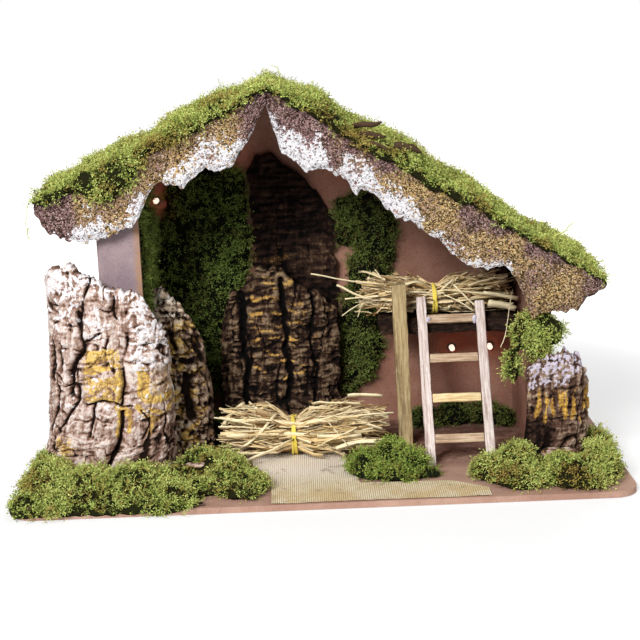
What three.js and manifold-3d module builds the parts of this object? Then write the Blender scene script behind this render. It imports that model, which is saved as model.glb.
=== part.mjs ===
// A rustic stable for a crib scene. The hut is built of thin painted hardboard on a base board
// and dressed with cork bark, moss and straw. It has a loft with a ladder, and five small
// lamps whose wire and battery box sit on the back of the hut.
// Lengths are millimetres. X runs to the right along the front, Y to the back and Z up.
// The origin is on the ground, under the middle of the base board.

import * as THREE from 'three';
import { mergeVertices } from 'three/addons/utils/BufferGeometryUtils.js';
import Module from 'manifold-3d';

const wasm = await Module();
wasm.setup();

// Base board
const BASE_WIDTH = 500;
const BASE_DEPTH = 250;
const BASE_THICKNESS = 5;
const BASE_CORNER_RADIUS = 20;
const BASE_CORNER_STEPS = 5;

// Thin line left between pieces that are glued or laid on each other
const GLUE_GAP = 0.3;

// Hut walls
const HUT_WIDTH = 329;
const HUT_OFFSET = 15.5;
const HUT_DEPTH = 125;
const FRONT_YARD = 93;
const SIDE_WALL_THICKNESS = 4;
const BACK_WALL_THICKNESS = 5;
const FRONT_BOARD_THICKNESS = 4.7;
const FRONT_BOARD_WIDTH_LEFT = 29;
const FRONT_BOARD_WIDTH_RIGHT = 14;
const FRONT_BOARD_PAST_WALL = 6;

// Roof
const RIDGE_X = -34;
const RIDGE_HEIGHT = 325;
const LEFT_PITCH = THREE.MathUtils.degToRad(23.8);
const RIGHT_PITCH = THREE.MathUtils.degToRad(31.5);
const LEFT_ROOF_WIDTH = 190;
const RIGHT_ROOF_WIDTH = 270;
const ROOF_PANEL_THICKNESS = 4;
const ROOF_FRONT_OVERHANG = 13;
const ROOF_BACK_OVERHANG = 4;
const RIDGE_GAP = 0.3;

// Torn cork strips on the front of the roof: how far they hang below the roof surface,
// at even steps from the ridge to the eave
const FASCIA_THICKNESS = 6;
const LEFT_FASCIA_DROPS = [
  12, 26, 35, 42, 44, 40, 42, 47, 39, 32, 42, 55, 54, 55, 53, 54, 45, 39, 32, 9,
];
const RIGHT_FASCIA_DROPS = [
  18, 45, 46, 50, 43, 37, 40, 43, 34, 39, 45, 44, 43, 43, 47, 50, 50, 49, 41, 35, 45, 66, 57,
  50, 42, 33, 17, 5,
];

// Moss on the roof: how thick it is and how far it hangs over the cork strip, at even steps
// from the ridge to the eave
const LEFT_ROOF_MOSS = [1, 4, 9, 9, 9.8, 4, 3, 7.3, 7.3, 3.2, 6.5];
const RIGHT_ROOF_MOSS = [
  1, 8.1, 13.1, 10.6, 8.1, 14.8, 15.6, 10.6, 8.1, 12.3, 7.3, 4.8, 4, 9, 6.5,
];
const LEFT_ROOF_MOSS_HANG = [2, 2, 6, 7, 7, 4, 23, 28, 9, 5, 3];
const RIGHT_ROOF_MOSS_HANG = [2, 2, 2, 3, 6, 2, 6, 7, 2, 2, 2, 4, 3, 2, 2];
const ROOF_MOSS_SWELL = 2.4;
const ROOF_MOSS_LEAST = 1;
const ROOF_MOSS_LIP = 4;
const ROOF_MOSS_STEP = 11.5;

// Loft
const LOFT_HEIGHT = 117;
const LOFT_THICKNESS = 14;
const LOFT_WIDTH = 125;
const LOFT_DEPTH = 70;
const LOFT_NOSE = 12;
const LOFT_NOSE_WIDTH = 26;
const LOFT_NOSE_END = 8;
const LOFT_EDGE_ROUNDING = 12;
const LOFT_ROUGH_STEP = 10;
const LOFT_CORNER_SIZE = [18, 28];
const LOFT_CORNER_HEIGHT = 40;
const POST_WIDTH = 12.3;
const POST_DEPTH = 10;
const POST_HEIGHT = 150;
const POST_INSET = 13.8;
const POST_LEAN = 3.5;

// Ladder
const LADDER_WIDTH = 59.5;
const LADDER_FROM_WALL = 33.5;
const LADDER_LEAN = THREE.MathUtils.degToRad(30);
const LEFT_STILE_LENGTH = 151;
const RIGHT_STILE_LENGTH = 146;
const STILE_WIDTH = 8.5;
const STILE_THICKNESS = 4;
const RUNG_COUNT = 4;
const RUNG_PITCH = 35.6;
const RUNG_HEIGHT = 8;
const RUNG_THICKNESS = 3.4;
const FIRST_RUNG = 20;

// Cork bark: plan lines as offsets from the hut corner they stand at, top heights at even steps.
// The left bark ends under the eave, so its top is given as drops from the ridge.
const BARK_ROUGHNESS = 1.6;
const BARK_BACK_ROUGHNESS = 0.3;
const BARK_RAGGED_TOP = 3.2;
const BARK_RAGGED_TURN = 2.2;
const BARK_ROWS = 9;
const LEFT_BARK_THICKNESS = 13;
const LEFT_BARK_TAPER = 17;
const LEFT_BARK_LINE = [
  [-84, 56], [-88, 28], [-77, 3], [-51, -11], [-23, -15.5], [1, -13], [15, -2], [20, 15],
];
const LEFT_BARK_DROPS = [
  175, 161, 148, 143, 139, 138, 145, 153, 158, 160, 179, 188, 211, 245,
];

// Relief of the left bark, with X as an offset from the hut corner and Z from the ground: cracks
// as depth and path, and raised plates as middle, half width, half height and rise
const LEFT_BARK_GRID = [30, 14];
const PLATE_BED = 2.2;
const CRACK_REACH = 5.5;
const LEFT_BARK_CRACKS = [
  [4.5, [-35, 175], [-38, 165], [-42, 155], [-44, 145], [-44, 131], [-42, 125], [-44, 116]],
  [6.5, [-44, 116], [-50, 110], [-53, 102], [-55, 90], [-56, 80]],
  [3.5, [-42, 126], [-36, 128], [-28, 133]],
  [3.5, [-14, 164], [-16, 154], [-15, 147], [-9, 139], [-6, 132], [-8, 121], [-11, 109]],
  [3.5, [-11, 109], [-12, 91], [-14, 72]],
  [3.5, [-46, 74], [-37, 73], [-31, 75], [-20, 76], [-14, 71], [-2, 69]],
  [3.5, [-37, 73], [-39, 60], [-42, 48], [-46, 39], [-50, 29]],
  [5.5, [-15, 66], [-17, 50], [-21, 35], [-28, 22], [-32, 13]],
  [3.5, [-62, 123], [-62, 102], [-66, 88], [-65, 76], [-70, 64], [-74, 50], [-80, 32]],
  [4, [-50, 102], [-49, 87], [-50, 75], [-58, 64], [-67, 49], [-74, 36], [-76, 29]],
  [3, [2, 100], [4, 91], [11, 86], [19, 87]],
  [3, [0, 66], [5, 54], [1, 44], [-3, 32]],
];
const LEFT_BARK_PLATES = [
  [-29, 87.5, 15, 14.5, 2.2], [-56.5, 169.5, 12.5, 13.5, 1.2], [-58, 138.5, 12, 16.5, 1.4],
  [-29, 148, 11, 21, 1.6], [9, 116, 14, 16, 1.6], [-29.5, 47, 7.5, 25, 1.4],
  [-8.5, 41.5, 4.5, 24.5, 1.2], [-53.5, 50, 10.5, 23, 1.2], [7.5, 148, 9.5, 15, 1.2],
  [-73.5, 51, 4.5, 23, 1], [-64.5, 98, 7.5, 22, 1.2],
];
const INNER_BARK_THICKNESS = 13;
const INNER_BARK_LINE = [[9, 46], [24, 45], [40, 50], [52, 58]];
const INNER_BARK_TOPS = [154, 157, 150, 140, 126, 108, 66];
const CENTRE_BARK_THICKNESS = 15;
const CENTRE_BARK_LINE = [[-88, 12], [-66, 17], [-36, 22], [-6, 20], [18, 12]];
const CENTRE_BARK_TOPS = [112, 138, 141, 162, 163, 150, 138, 132, 122];
const TALL_BARK_THICKNESS = 9;
const TALL_BARK_LINE = [[-59, 0], [-22, 1], [22, 0]];
const TALL_BARK_TOPS = [246, 259, 263, 250, 236, 222, 200];
const RIGHT_BARK_THICKNESS = 9;
const RIGHT_BARK_TAPER = 8;
const RIGHT_BARK_LINE = [[-16, -11.5], [5, -15], [23, -14.5], [35, -6], [41, 9], [43, 28]];
const RIGHT_BARK_TOPS = [88, 100, 104, 99, 78, 64, 48];
const CHIP_HEIGHT = 17;
const CHIP_SIDES = 9;
const LEFT_CHIP_PLACE = [-106, 28];
const LEFT_CHIP_SIZE = [30, 11];
const RIGHT_CHIP_PLACE = [196, 26];
const RIGHT_CHIP_SIZE = [40, 12];

// Room that the moss leaves round the ladder feet and round each lamp
const MOSS_LADDER_ROOM = 30;
const LAMP_CLEARING = 16;

// Moss heaps on the base: middle X of each lump, its distance from the front edge of the base,
// half width, half depth and height
const LEFT_MOSS_LUMPS = [
  [-234, 99, 13, 34, 22], [-224, 53, 24, 37, 26], [-190, 39, 28, 37, 22], [-154, 35, 30, 34, 25],
  [-118, 41, 28, 38, 21], [-84, 57, 26, 39, 24], [-64, 37, 20, 31, 17], [-104, 83, 19, 18, 23],
  [-204, 20, 26, 19, 14], [-140, 16, 34, 15, 12], [-232, 26, 17, 18, 12],
];
const CENTRE_MOSS_LUMPS = [
  [34, 68, 16, 17, 20], [56, 74, 18, 18, 27], [74, 69, 14, 16, 20], [60, 51, 26, 13, 13],
  [88, 53, 11, 9, 7],
];
const RIGHT_MOSS_LUMPS = [
  [138, 47, 20, 20, 18], [164, 55, 22, 26, 25], [196, 39, 28, 31, 22], [226, 51, 20, 37, 24],
  [235, 94, 13, 32, 20], [160, 29, 26, 22, 14], [208, 25, 30, 25, 15], [166, 80, 15, 16, 22],
];

// Moss heaps inside the hut: the same, with the distance from the back wall
const BACK_MOSS_LUMPS = [
  [98, 18, 20, 16, 18], [124, 14, 20, 14, 23], [150, 16, 20, 15, 21], [168, 22, 12, 18, 17],
];
const INNER_MOSS_LUMPS = [
  [-128, 30, 20, 20, 24], [-106, 26, 16, 20, 34], [-96, 44, 16, 14, 22],
];

// Moss on the back wall: middle X and Z of each lump, half width, half height and thickness
const LEFT_WALL_MOSS_LUMPS = [
  [-130, 170, 28, 36, 13], [-106, 200, 30, 38, 14], [-82, 212, 21, 30, 13],
  [-88, 168, 28, 38, 15], [-124, 128, 34, 38, 14], [-88, 122, 30, 38, 16],
  [-124, 88, 34, 36, 14], [-92, 82, 30, 34, 15], [-114, 60, 36, 24, 14],
  [-84, 232, 26, 22, 12], [-110, 222, 24, 24, 12], [-70, 190, 16, 40, 12],
];
const RIGHT_WALL_MOSS_LUMPS = [
  [30, 196, 18, 24, 12], [42, 203, 22, 22, 12], [57, 192, 19, 24, 13], [56, 168, 20, 24, 13],
  [48, 142, 20, 30, 14], [42, 111, 21, 32, 15], [40, 84, 21, 28, 15], [34, 62, 22, 22, 13],
  [26, 48, 16, 13, 11],
];

// Moss on the inside of the left wall: distance of each lump from the front of the hut, its Z,
// half depth, half height and thickness
const SIDE_WALL_MOSS_LUMPS = [
  [26, 186, 24, 46, 8], [58, 206, 28, 36, 8], [94, 196, 34, 48, 8], [54, 142, 30, 44, 8],
  [30, 104, 26, 40, 8], [78, 100, 38, 44, 8],
];
const CAP_MOSS_LUMPS = [
  [-8, 12, 12, 9, 17], [5, 20, 13, 9, 17], [15, 12, 10, 8, 14], [1, -4, 10, 9, 14],
  [-19, -14, 7, 8, 16],
];

// Woven path laid on the base, its outline as X and distance from the front edge
const MAT_THICKNESS = 1;
const MAT_OUTLINE = [
  [-62, 150], [18, 150], [22, 90], [30, 43], [104, 41], [132, 20], [132, 1.5], [-42, 1.5],
  [-44, 66], [-60, 100],
];

// Straw bundles: reach to the left and right of the tie, spread to the sides and upwards.
// The core is the dense middle of a bundle, measured in waists.
const STALK_RADIUS = 1.7;
const STALK_SIDES = 4;
const STALK_TWIST = THREE.MathUtils.degToRad(135);
const STALK_UNEVENNESS = 0.28;
const CORE_REACH = 2.3;
const CORE_SHOULDER = 1.7;
const CORE_SHOULDER_RADIUS = 0.85;
const TIE_THICKNESS = 1.2;
const TIE_WIDTH = 4;
const TIE_GAP = 0.4;
const FLOOR_STRAW_X = -24;
const FLOOR_STRAW_FROM_BACK = 91;
const FLOOR_STRAW_REACH = [68, 85];
const FLOOR_STRAW_WAIST = 15.5;
const FLOOR_STRAW_SPREAD = [33, 31];
const FLOOR_STRAW_STALKS = 28;
const LOFT_STRAW_FROM_WALL = 76;
const LOFT_STRAW_FROM_BACK = 48;
const LOFT_STRAW_REACH = [92, 72];
const LOFT_STRAW_WAIST = 12;
const LOFT_STRAW_SPREAD = [16, 28];
const LOFT_STRAW_STALKS = 24;

// Lamps on the back wall: two under the loft, at X and a drop from the top of the shelf, and three
// under the roof, at X and a drop from its underside
const LOFT_LAMPS = [[124, 43], [159, 43]];
const ROOF_LAMPS = [[30, 35.1], [-67, 44.1], [-141, 52.4]];
const BULB_DIAMETER = 5;
const BULB_LENGTH = 13;
const SOCKET_DIAMETER = 7.6;
const SOCKET_LENGTH = 13;
const SOCKET_PROUD = 1.5;
const SOCKET_BORE_DEPTH = 6;
const SOCKET_COLLAR_DIAMETER = 10.4;
const SOCKET_COLLAR_THICKNESS = 1.6;
const FIT_GAP = 0.3;
const ROUND_STEPS = 14;

// Battery box for two round cells, with a sliding cover and a slide switch
const BOX_LENGTH = 78;
const BOX_WIDTH = 36;
const BOX_CENTRE_X = -22;
const BOX_CENTRE_Z = 60;
const BOX_WALL = 2;
const BOX_CORNER_RADIUS = 3;
const BOX_LIP_THICKNESS = 0.9;
const CELL_DIAMETER = 14.2;
const CELL_LENGTH = 49;
const CELL_PIN_DIAMETER = 5.4;
const CELL_PIN_LENGTH = 1.5;
const CELL_PITCH = 16;
const CONTACT_THICKNESS = 0.5;
const CONTACT_WIDTH = 9;
const SPRING_LENGTH = 4.6;
const SPRING_DIAMETER = 8;
const SPRING_TIP_DIAMETER = 5;
const COVER_THICKNESS = 1.6;
const COVER_TONGUE = 1.2;
const COVER_GAP = 0.3;
const COVER_RIB_COUNT = 4;
const COVER_RIB_PITCH = 3;
const COVER_RIB_WIDTH = 1.2;
const COVER_RIB_LENGTH = 16;
const COVER_RIB_HEIGHT = 0.7;
const SWITCH_TRAVEL = 3.4;
const SWITCH_STEM = [3, 2.2];
const SWITCH_PROUD = 2.2;
const SWITCH_FLANGE = [6.4, 4.4, 1.4];
const SWITCH_BODY = [11, 6, 20];
const SWITCH_BODY_FROM_BACK = 2;
const FUSE_OVERLAP = 0.5;

// Lamp wire
const WIRE_DIAMETER = 2.4;
const WIRE_HOLE_GAP = 0.4;
const WIRE_HOLE_FROM_BACK = 5;
const WIRE_INSIDE_BOX = 6;
const WIRE_SETTLE_RUN = 24;
const WIRE_ARC_STEPS = 4;
const WIRE_STEPS = 80;
const WIRE_LIFT = 0.7;
const WIRE_CREST = 7;
const WIRE_RISE_RUN = 15;
const WIRE_LEVEL_RUN = 17;

// Places worked out from the sizes
const floorZ = BASE_THICKNESS;
const restZ = floorZ + GLUE_GAP;
const baseFrontY = -BASE_DEPTH / 2;
const hutFrontY = baseFrontY + FRONT_YARD;
const hutBackY = hutFrontY + HUT_DEPTH;
const backFaceY = hutBackY + BACK_WALL_THICKNESS;
const hutLeftX = HUT_OFFSET - HUT_WIDTH / 2;
const hutRightX = HUT_OFFSET + HUT_WIDTH / 2;
const boardFrontY = hutFrontY - GLUE_GAP - FRONT_BOARD_THICKNESS;
const boardLeftX = hutLeftX - FRONT_BOARD_WIDTH_LEFT;
const boardLeftEndX = hutLeftX + FRONT_BOARD_PAST_WALL;
const boardRightX = hutRightX + FRONT_BOARD_WIDTH_RIGHT;
const roofFrontY = hutFrontY - ROOF_FRONT_OVERHANG;
const roofBackY = backFaceY + ROOF_BACK_OVERHANG;
const fasciaBackY = roofFrontY - GLUE_GAP;
const fasciaFrontY = fasciaBackY - FASCIA_THICKNESS;
const loftRightX = hutRightX - GLUE_GAP;
const loftLeftX = loftRightX - LOFT_WIDTH;
const loftBackY = hutBackY - GLUE_GAP;
const loftFrontY = loftBackY - LOFT_DEPTH;

// Roof surface over a place x
function roofTop(x) {
  const run = Math.abs(x - RIDGE_X);
  return RIDGE_HEIGHT - run * Math.tan(x < RIDGE_X ? LEFT_PITCH : RIGHT_PITCH);
}

function roofUnderside(x) {
  const pitch = x < RIDGE_X ? LEFT_PITCH : RIGHT_PITCH;
  return roofTop(x) - ROOF_PANEL_THICKNESS / Math.cos(pitch);
}

// Lamp places as X and Z, in the order in which the wire reaches them
const lampPlaces = [
  ...LOFT_LAMPS.map(([x, drop]) => [x, LOFT_HEIGHT - drop]),
  ...ROOF_LAMPS.map(([x, drop]) => [x, roofUnderside(x) - drop]),
];

// Materials
function finish(color, roughness, metalness = 0) {
  return new THREE.MeshStandardMaterial({ color, roughness, metalness });
}

const PAINTED_BOARD = finish('#7a5246', 0.85);
const GREY_BOARD = finish('#83726f', 0.85);
const CORK_CRUST = finish('#a08a78', 0.95);
const CORK_BARK = finish('#8a7766', 0.95);
const DARK_BARK = finish('#4c3c32', 0.95);
const MOSS_GREEN = finish('#6c8a34', 1);
const DEEP_MOSS = finish('#44562a', 1);
const PALE_WOOD = finish('#a8968a', 0.8);
const OLIVE_WOOD = finish('#94855e', 0.8);
const STRAW = finish('#cdb880', 0.8);
const RAFFIA = finish('#d2b944', 0.7);
const WOVEN_PATH = finish('#cbb68a', 0.95);
const LAMP_GLASS = finish('#fff0d6', 0.3);
const GREEN_PLASTIC = finish('#2f4a34', 0.5);
const BLACK_PLASTIC = finish('#2b2b2d', 0.45);
const CELL_SKIN = finish('#6d7378', 0.4, 0.3);
const BRIGHT_METAL = finish('#c4c4c0', 0.3, 0.9);

// Booleans
function solidOf(geometry) {
  const bare = geometry.index ? geometry.toNonIndexed() : geometry.clone();
  bare.deleteAttribute('normal');
  bare.deleteAttribute('uv');
  const merged = mergeVertices(bare, 1e-4);
  return new wasm.Manifold(new wasm.Mesh({
    numProp: 3,
    vertProperties: new Float32Array(merged.attributes.position.array),
    triVerts: new Uint32Array(merged.index.array),
  }));
}

function geometryOf(solid) {
  const mesh = solid.getMesh();
  const geometry = new THREE.BufferGeometry();
  geometry.setAttribute('position', new THREE.BufferAttribute(mesh.vertProperties, 3));
  geometry.setIndex(new THREE.BufferAttribute(mesh.triVerts, 1));
  return geometry;
}

function largestBody(solid) {
  const bodies = solid.decompose();
  return bodies.reduce((best, body) => (body.volume() > best.volume() ? body : best));
}

// Shapes
function boxBetween(low, high) {
  const size = high.map((value, axis) => value - low[axis]);
  const geometry = new THREE.BoxGeometry(...size);
  geometry.translate(...low.map((value, axis) => value + size[axis] / 2));
  return geometry;
}

function outlineShape(points) {
  return new THREE.Shape(points.map(([a, b]) => new THREE.Vector2(a, b)));
}

// An outline in plan, raised from z to z + height
function plateFlat(shape, z, height, curveSegments = BASE_CORNER_STEPS) {
  const geometry = new THREE.ExtrudeGeometry(shape, {
    depth: height, bevelEnabled: false, curveSegments,
  });
  geometry.translate(0, 0, z);
  return geometry;
}

// An outline of X and Z, standing from the front face y to y + depth
function plateUpright(points, y, depth) {
  const geometry = new THREE.ExtrudeGeometry(outlineShape(points), {
    depth, bevelEnabled: false,
  });
  geometry.rotateX(Math.PI / 2);
  geometry.translate(0, y + depth, 0);
  return geometry;
}

// An outline of Y and Z, from the left face x to x + width
function plateSideways(points, x, width) {
  const geometry = new THREE.ExtrudeGeometry(outlineShape(points), {
    depth: width, bevelEnabled: false,
  });
  geometry.rotateX(Math.PI / 2);
  geometry.rotateZ(Math.PI / 2);
  geometry.translate(x, 0, 0);
  return geometry;
}

function roundedRectangle(width, depth, radius) {
  const shape = new THREE.Shape();
  const [x, y] = [width / 2, depth / 2];
  shape.absarc(x - radius, y - radius, radius, 0, Math.PI / 2);
  shape.absarc(-x + radius, y - radius, radius, Math.PI / 2, Math.PI);
  shape.absarc(-x + radius, -y + radius, radius, Math.PI, 1.5 * Math.PI);
  shape.absarc(x - radius, -y + radius, radius, 1.5 * Math.PI, 2 * Math.PI);
  return shape;
}

// A smooth, repeatable unevenness between -1 and 1
function ripple(a, b, seed) {
  const first = Math.sin(a * 2.3 + seed * 1.7 + 1.3 * Math.sin(b * 1.9 + seed));
  const second = Math.sin(b * 3.1 - seed * 2.1 + 1.1 * Math.sin(a * 1.3 - seed));
  return (first + second) / 2;
}

// A value read from a list whose entries lie at even steps of share, 0 to 1
function alongList(list, share) {
  const place = Math.min(Math.max(share, 0), 1) * (list.length - 1);
  const index = Math.min(Math.floor(place), list.length - 2);
  return THREE.MathUtils.lerp(list[index], list[index + 1], place - index);
}

// A closed body from rings of points that all have the same count
function loftRings(rings) {
  const count = rings[0].length;
  const points = rings.flat();
  const faces = [];
  for (let r = 0; r < rings.length - 1; r += 1) {
    for (let i = 0; i < count; i += 1) {
      const next = (i + 1) % count;
      const [a, b] = [r * count + i, r * count + next];
      faces.push(a, b, b + count, a, b + count, a + count);
    }
  }
  for (const [ring, turned] of [[0, true], [rings.length - 1, false]]) {
    const flat = rings[ring].map((p) => new THREE.Vector2(...capAxes(rings[ring], p)));
    const flip = turned !== THREE.ShapeUtils.isClockWise(flat);
    const start = ring * count;
    for (const [a, b, c] of THREE.ShapeUtils.triangulateShape(flat, [])) {
      faces.push(...(flip ? [start + c, start + b, start + a] : [start + a, start + b, start + c]));
    }
  }
  const geometry = new THREE.BufferGeometry();
  geometry.setAttribute('position', new THREE.Float32BufferAttribute(points.flat(), 3));
  geometry.setIndex(faces);
  return facingOut(geometry);
}

// The two coordinates of a point in the plane in which its ring is widest
function capAxes(ring, point) {
  const spans = [0, 1, 2].map((axis) => {
    const values = ring.map((p) => p[axis]);
    return Math.max(...values) - Math.min(...values);
  });
  const thin = spans.indexOf(Math.min(...spans));
  const pair = [[1, 2], [2, 0], [0, 1]][thin];
  return pair.map((axis) => point[axis]);
}

function facingOut(geometry) {
  const position = geometry.attributes.position;
  const index = geometry.index.array;
  const corner = (i) => new THREE.Vector3().fromBufferAttribute(position, index[i]);
  let volume = 0;
  for (let i = 0; i < index.length; i += 3) {
    volume += corner(i).dot(corner(i + 1).cross(corner(i + 2)));
  }
  if (volume < 0) {
    for (let i = 0; i < index.length; i += 3) {
      [index[i], index[i + 1]] = [index[i + 1], index[i]];
    }
  }
  return geometry;
}

// A rough slab between a front and a back surface, both given over shares u and v
function slabBetween(columns, rows, front, back) {
  const points = [];
  for (const surface of [front, back]) {
    for (let row = 0; row <= rows; row += 1) {
      for (let column = 0; column <= columns; column += 1) {
        points.push(surface(column / columns, row / rows));
      }
    }
  }
  const layer = (columns + 1) * (rows + 1);
  const at = (column, row, side) => side * layer + row * (columns + 1) + column;
  const faces = [];
  const quad = (a, b, c, d) => faces.push(a, b, c, a, c, d);
  for (let row = 0; row < rows; row += 1) {
    for (let column = 0; column < columns; column += 1) {
      for (const side of [0, 1]) {
        const ring = [
          at(column, row, side), at(column + 1, row, side),
          at(column + 1, row + 1, side), at(column, row + 1, side),
        ];
        quad(...(side ? ring.reverse() : ring));
      }
    }
  }
  for (let column = 0; column < columns; column += 1) {
    quad(at(column, 0, 1), at(column + 1, 0, 1), at(column + 1, 0, 0), at(column, 0, 0));
    quad(at(column, rows, 0), at(column + 1, rows, 0), at(column + 1, rows, 1), at(column, rows, 1));
  }
  for (let row = 0; row < rows; row += 1) {
    quad(at(0, row + 1, 1), at(0, row, 1), at(0, row, 0), at(0, row + 1, 0));
    quad(at(columns, row, 1), at(columns, row + 1, 1), at(columns, row + 1, 0), at(columns, row, 0));
  }
  const geometry = new THREE.BufferGeometry();
  geometry.setAttribute('position', new THREE.Float32BufferAttribute(points.flat(), 3));
  geometry.setIndex(faces);
  return facingOut(geometry);
}

// The stable, piece by piece
const stable = new THREE.Group();

function addPiece(name, geometry, material) {
  const mesh = new THREE.Mesh(geometry, material);
  mesh.name = name;
  stable.add(mesh);
}

// Base board
const baseShape = roundedRectangle(BASE_WIDTH, BASE_DEPTH, BASE_CORNER_RADIUS);
addPiece('base_board', plateFlat(baseShape, 0, BASE_THICKNESS), PAINTED_BOARD);

// A cylinder along Y, from y to y + length
function pegAlongY(x, z, diameter, y, length) {
  const geometry = new THREE.CylinderGeometry(diameter / 2, diameter / 2, length, ROUND_STEPS);
  geometry.translate(x, y + length / 2, z);
  return geometry;
}

function backWall() {
  const left = hutLeftX - SIDE_WALL_THICKNESS;
  const right = hutRightX + SIDE_WALL_THICKNESS;
  const outline = [
    [left, restZ], [right, restZ], [right, roofUnderside(right) - GLUE_GAP],
    [RIDGE_X, roofUnderside(RIDGE_X) - GLUE_GAP], [left, roofUnderside(left) - GLUE_GAP],
  ];
  let wall = solidOf(plateUpright(outline, hutBackY, BACK_WALL_THICKNESS));
  const holeDiameter = SOCKET_DIAMETER + 2 * FIT_GAP;
  for (const [x, z] of lampPlaces) {
    const hole = pegAlongY(x, z, holeDiameter, hutBackY - 1, BACK_WALL_THICKNESS + 2);
    wall = wall.subtract(solidOf(hole));
  }
  return geometryOf(wall);
}

function sideBoard(left, right, y, depth) {
  const outline = [
    [left, restZ], [right, restZ],
    [right, roofUnderside(right) - GLUE_GAP], [left, roofUnderside(left) - GLUE_GAP],
  ];
  return plateUpright(outline, y, depth);
}

const wallDepth = HUT_DEPTH - GLUE_GAP;
addPiece('back_wall', backWall(), PAINTED_BOARD);
addPiece('left_wall',
  sideBoard(hutLeftX - SIDE_WALL_THICKNESS, hutLeftX, hutFrontY, wallDepth), PAINTED_BOARD);
addPiece('right_wall',
  sideBoard(hutRightX, hutRightX + SIDE_WALL_THICKNESS, hutFrontY, wallDepth), PAINTED_BOARD);
addPiece('front_board_left',
  sideBoard(boardLeftX, boardLeftEndX, boardFrontY, FRONT_BOARD_THICKNESS), GREY_BOARD);
addPiece('front_board_right',
  sideBoard(hutRightX, boardRightX, boardFrontY, FRONT_BOARD_THICKNESS), GREY_BOARD);

// Roof panels and the torn cork strips on their front edges
function roofPanel(side, run) {
  const ridge = RIDGE_X + side * RIDGE_GAP / 2;
  const eave = RIDGE_X + side * run;
  const outline = [
    [ridge, roofTop(ridge)], [eave, roofTop(eave)],
    [eave, roofUnderside(eave)], [ridge, roofUnderside(ridge)],
  ];
  return plateUpright(outline, roofFrontY, roofBackY - roofFrontY);
}

function fascia(side, run, drops, grow = 0) {
  const ridge = RIDGE_X + side * RIDGE_GAP / 2;
  const eave = RIDGE_X + side * run;
  const lower = drops.map((drop, index) => {
    const x = THREE.MathUtils.lerp(ridge, eave, index / (drops.length - 1));
    return [x, roofTop(x) - drop - grow];
  });
  const outline = [[eave, roofTop(eave)], [ridge, roofTop(ridge)], ...lower];
  return plateUpright(outline, fasciaFrontY - grow, FASCIA_THICKNESS + 2 * grow);
}

addPiece('roof_panel_left', roofPanel(-1, LEFT_ROOF_WIDTH), PAINTED_BOARD);
addPiece('roof_panel_right', roofPanel(1, RIGHT_ROOF_WIDTH), PAINTED_BOARD);
addPiece('fascia_left', fascia(-1, LEFT_ROOF_WIDTH, LEFT_FASCIA_DROPS), CORK_CRUST);
addPiece('fascia_right', fascia(1, RIGHT_ROOF_WIDTH, RIGHT_FASCIA_DROPS), CORK_CRUST);

// Moss on a roof side: a bed on the surface with a lip that hangs over the cork strip
function roofMoss(side, run, beds, hangs, seed) {
  const steps = Math.max(4, Math.round(run / ROOF_MOSS_STEP));
  const frontY = fasciaFrontY - GLUE_GAP;
  const rings = [];
  for (let step = 0; step <= steps; step += 1) {
    const share = step / steps;
    const x = RIDGE_X + side * THREE.MathUtils.lerp(RIDGE_GAP / 2, run, share);
    const top = roofTop(x);
    const bed = (part, place) => top + Math.max(
      ROOF_MOSS_LEAST,
      part * alongList(beds, share) + ROOF_MOSS_SWELL * ripple(x / 14, place, seed),
    );
    const low = top - alongList(hangs, share);
    const lip = ROOF_MOSS_LIP + ripple(x / 19, 5, seed);
    const under = top + GLUE_GAP;
    const spread = (part) => THREE.MathUtils.lerp(roofBackY, frontY, part);
    rings.push([
      [x, roofBackY, under],
      [x, roofBackY, bed(0.7, 0)],
      [x, spread(0.18), bed(1, 0.9)],
      [x, spread(0.36), bed(1, 1.8)],
      [x, spread(0.54), bed(1, 2.7)],
      [x, spread(0.72), bed(1, 3.6)],
      [x, spread(0.88), bed(1, 4.4)],
      [x, frontY - lip, bed(0.4, 5)],
      [x, frontY - lip, low],
      [x, frontY, low],
      [x, frontY, under],
    ]);
  }
  return loftRings(rings);
}

addPiece('roof_moss_left',
  roofMoss(-1, LEFT_ROOF_WIDTH, LEFT_ROOF_MOSS, LEFT_ROOF_MOSS_HANG, 1), MOSS_GREEN);
addPiece('roof_moss_right',
  roofMoss(1, RIGHT_ROOF_WIDTH, RIGHT_ROOF_MOSS, RIGHT_ROOF_MOSS_HANG, 4), MOSS_GREEN);

// Loft shelf: a slab of dark bark glued to the back and right walls, deeper at its right end
function loftShelf() {
  const steps = Math.round(LOFT_WIDTH / LOFT_ROUGH_STEP);
  const rings = [];
  for (let step = 0; step <= steps; step += 1) {
    const x = THREE.MathUtils.lerp(loftLeftX, loftRightX, step / steps);
    const nose = THREE.MathUtils.smoothstep(x, loftRightX - LOFT_NOSE_WIDTH, loftRightX - LOFT_NOSE_END);
    const frontY = loftFrontY - nose * LOFT_NOSE;
    const rough = BARK_ROUGHNESS * (1 + ripple(x / 9, 1, 3)) / 2;
    const bottom = LOFT_HEIGHT - LOFT_THICKNESS;
    rings.push([
      [x, frontY, LOFT_HEIGHT - 1.5 * rough],
      [x, frontY, bottom + rough],
      [x, frontY + LOFT_EDGE_ROUNDING, bottom + 0.4 * rough],
      [x, loftBackY, bottom],
      [x, loftBackY, LOFT_HEIGHT - 1],
      [x, frontY + LOFT_EDGE_ROUNDING, LOFT_HEIGHT],
    ]);
  }
  return loftRings(rings);
}

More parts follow.
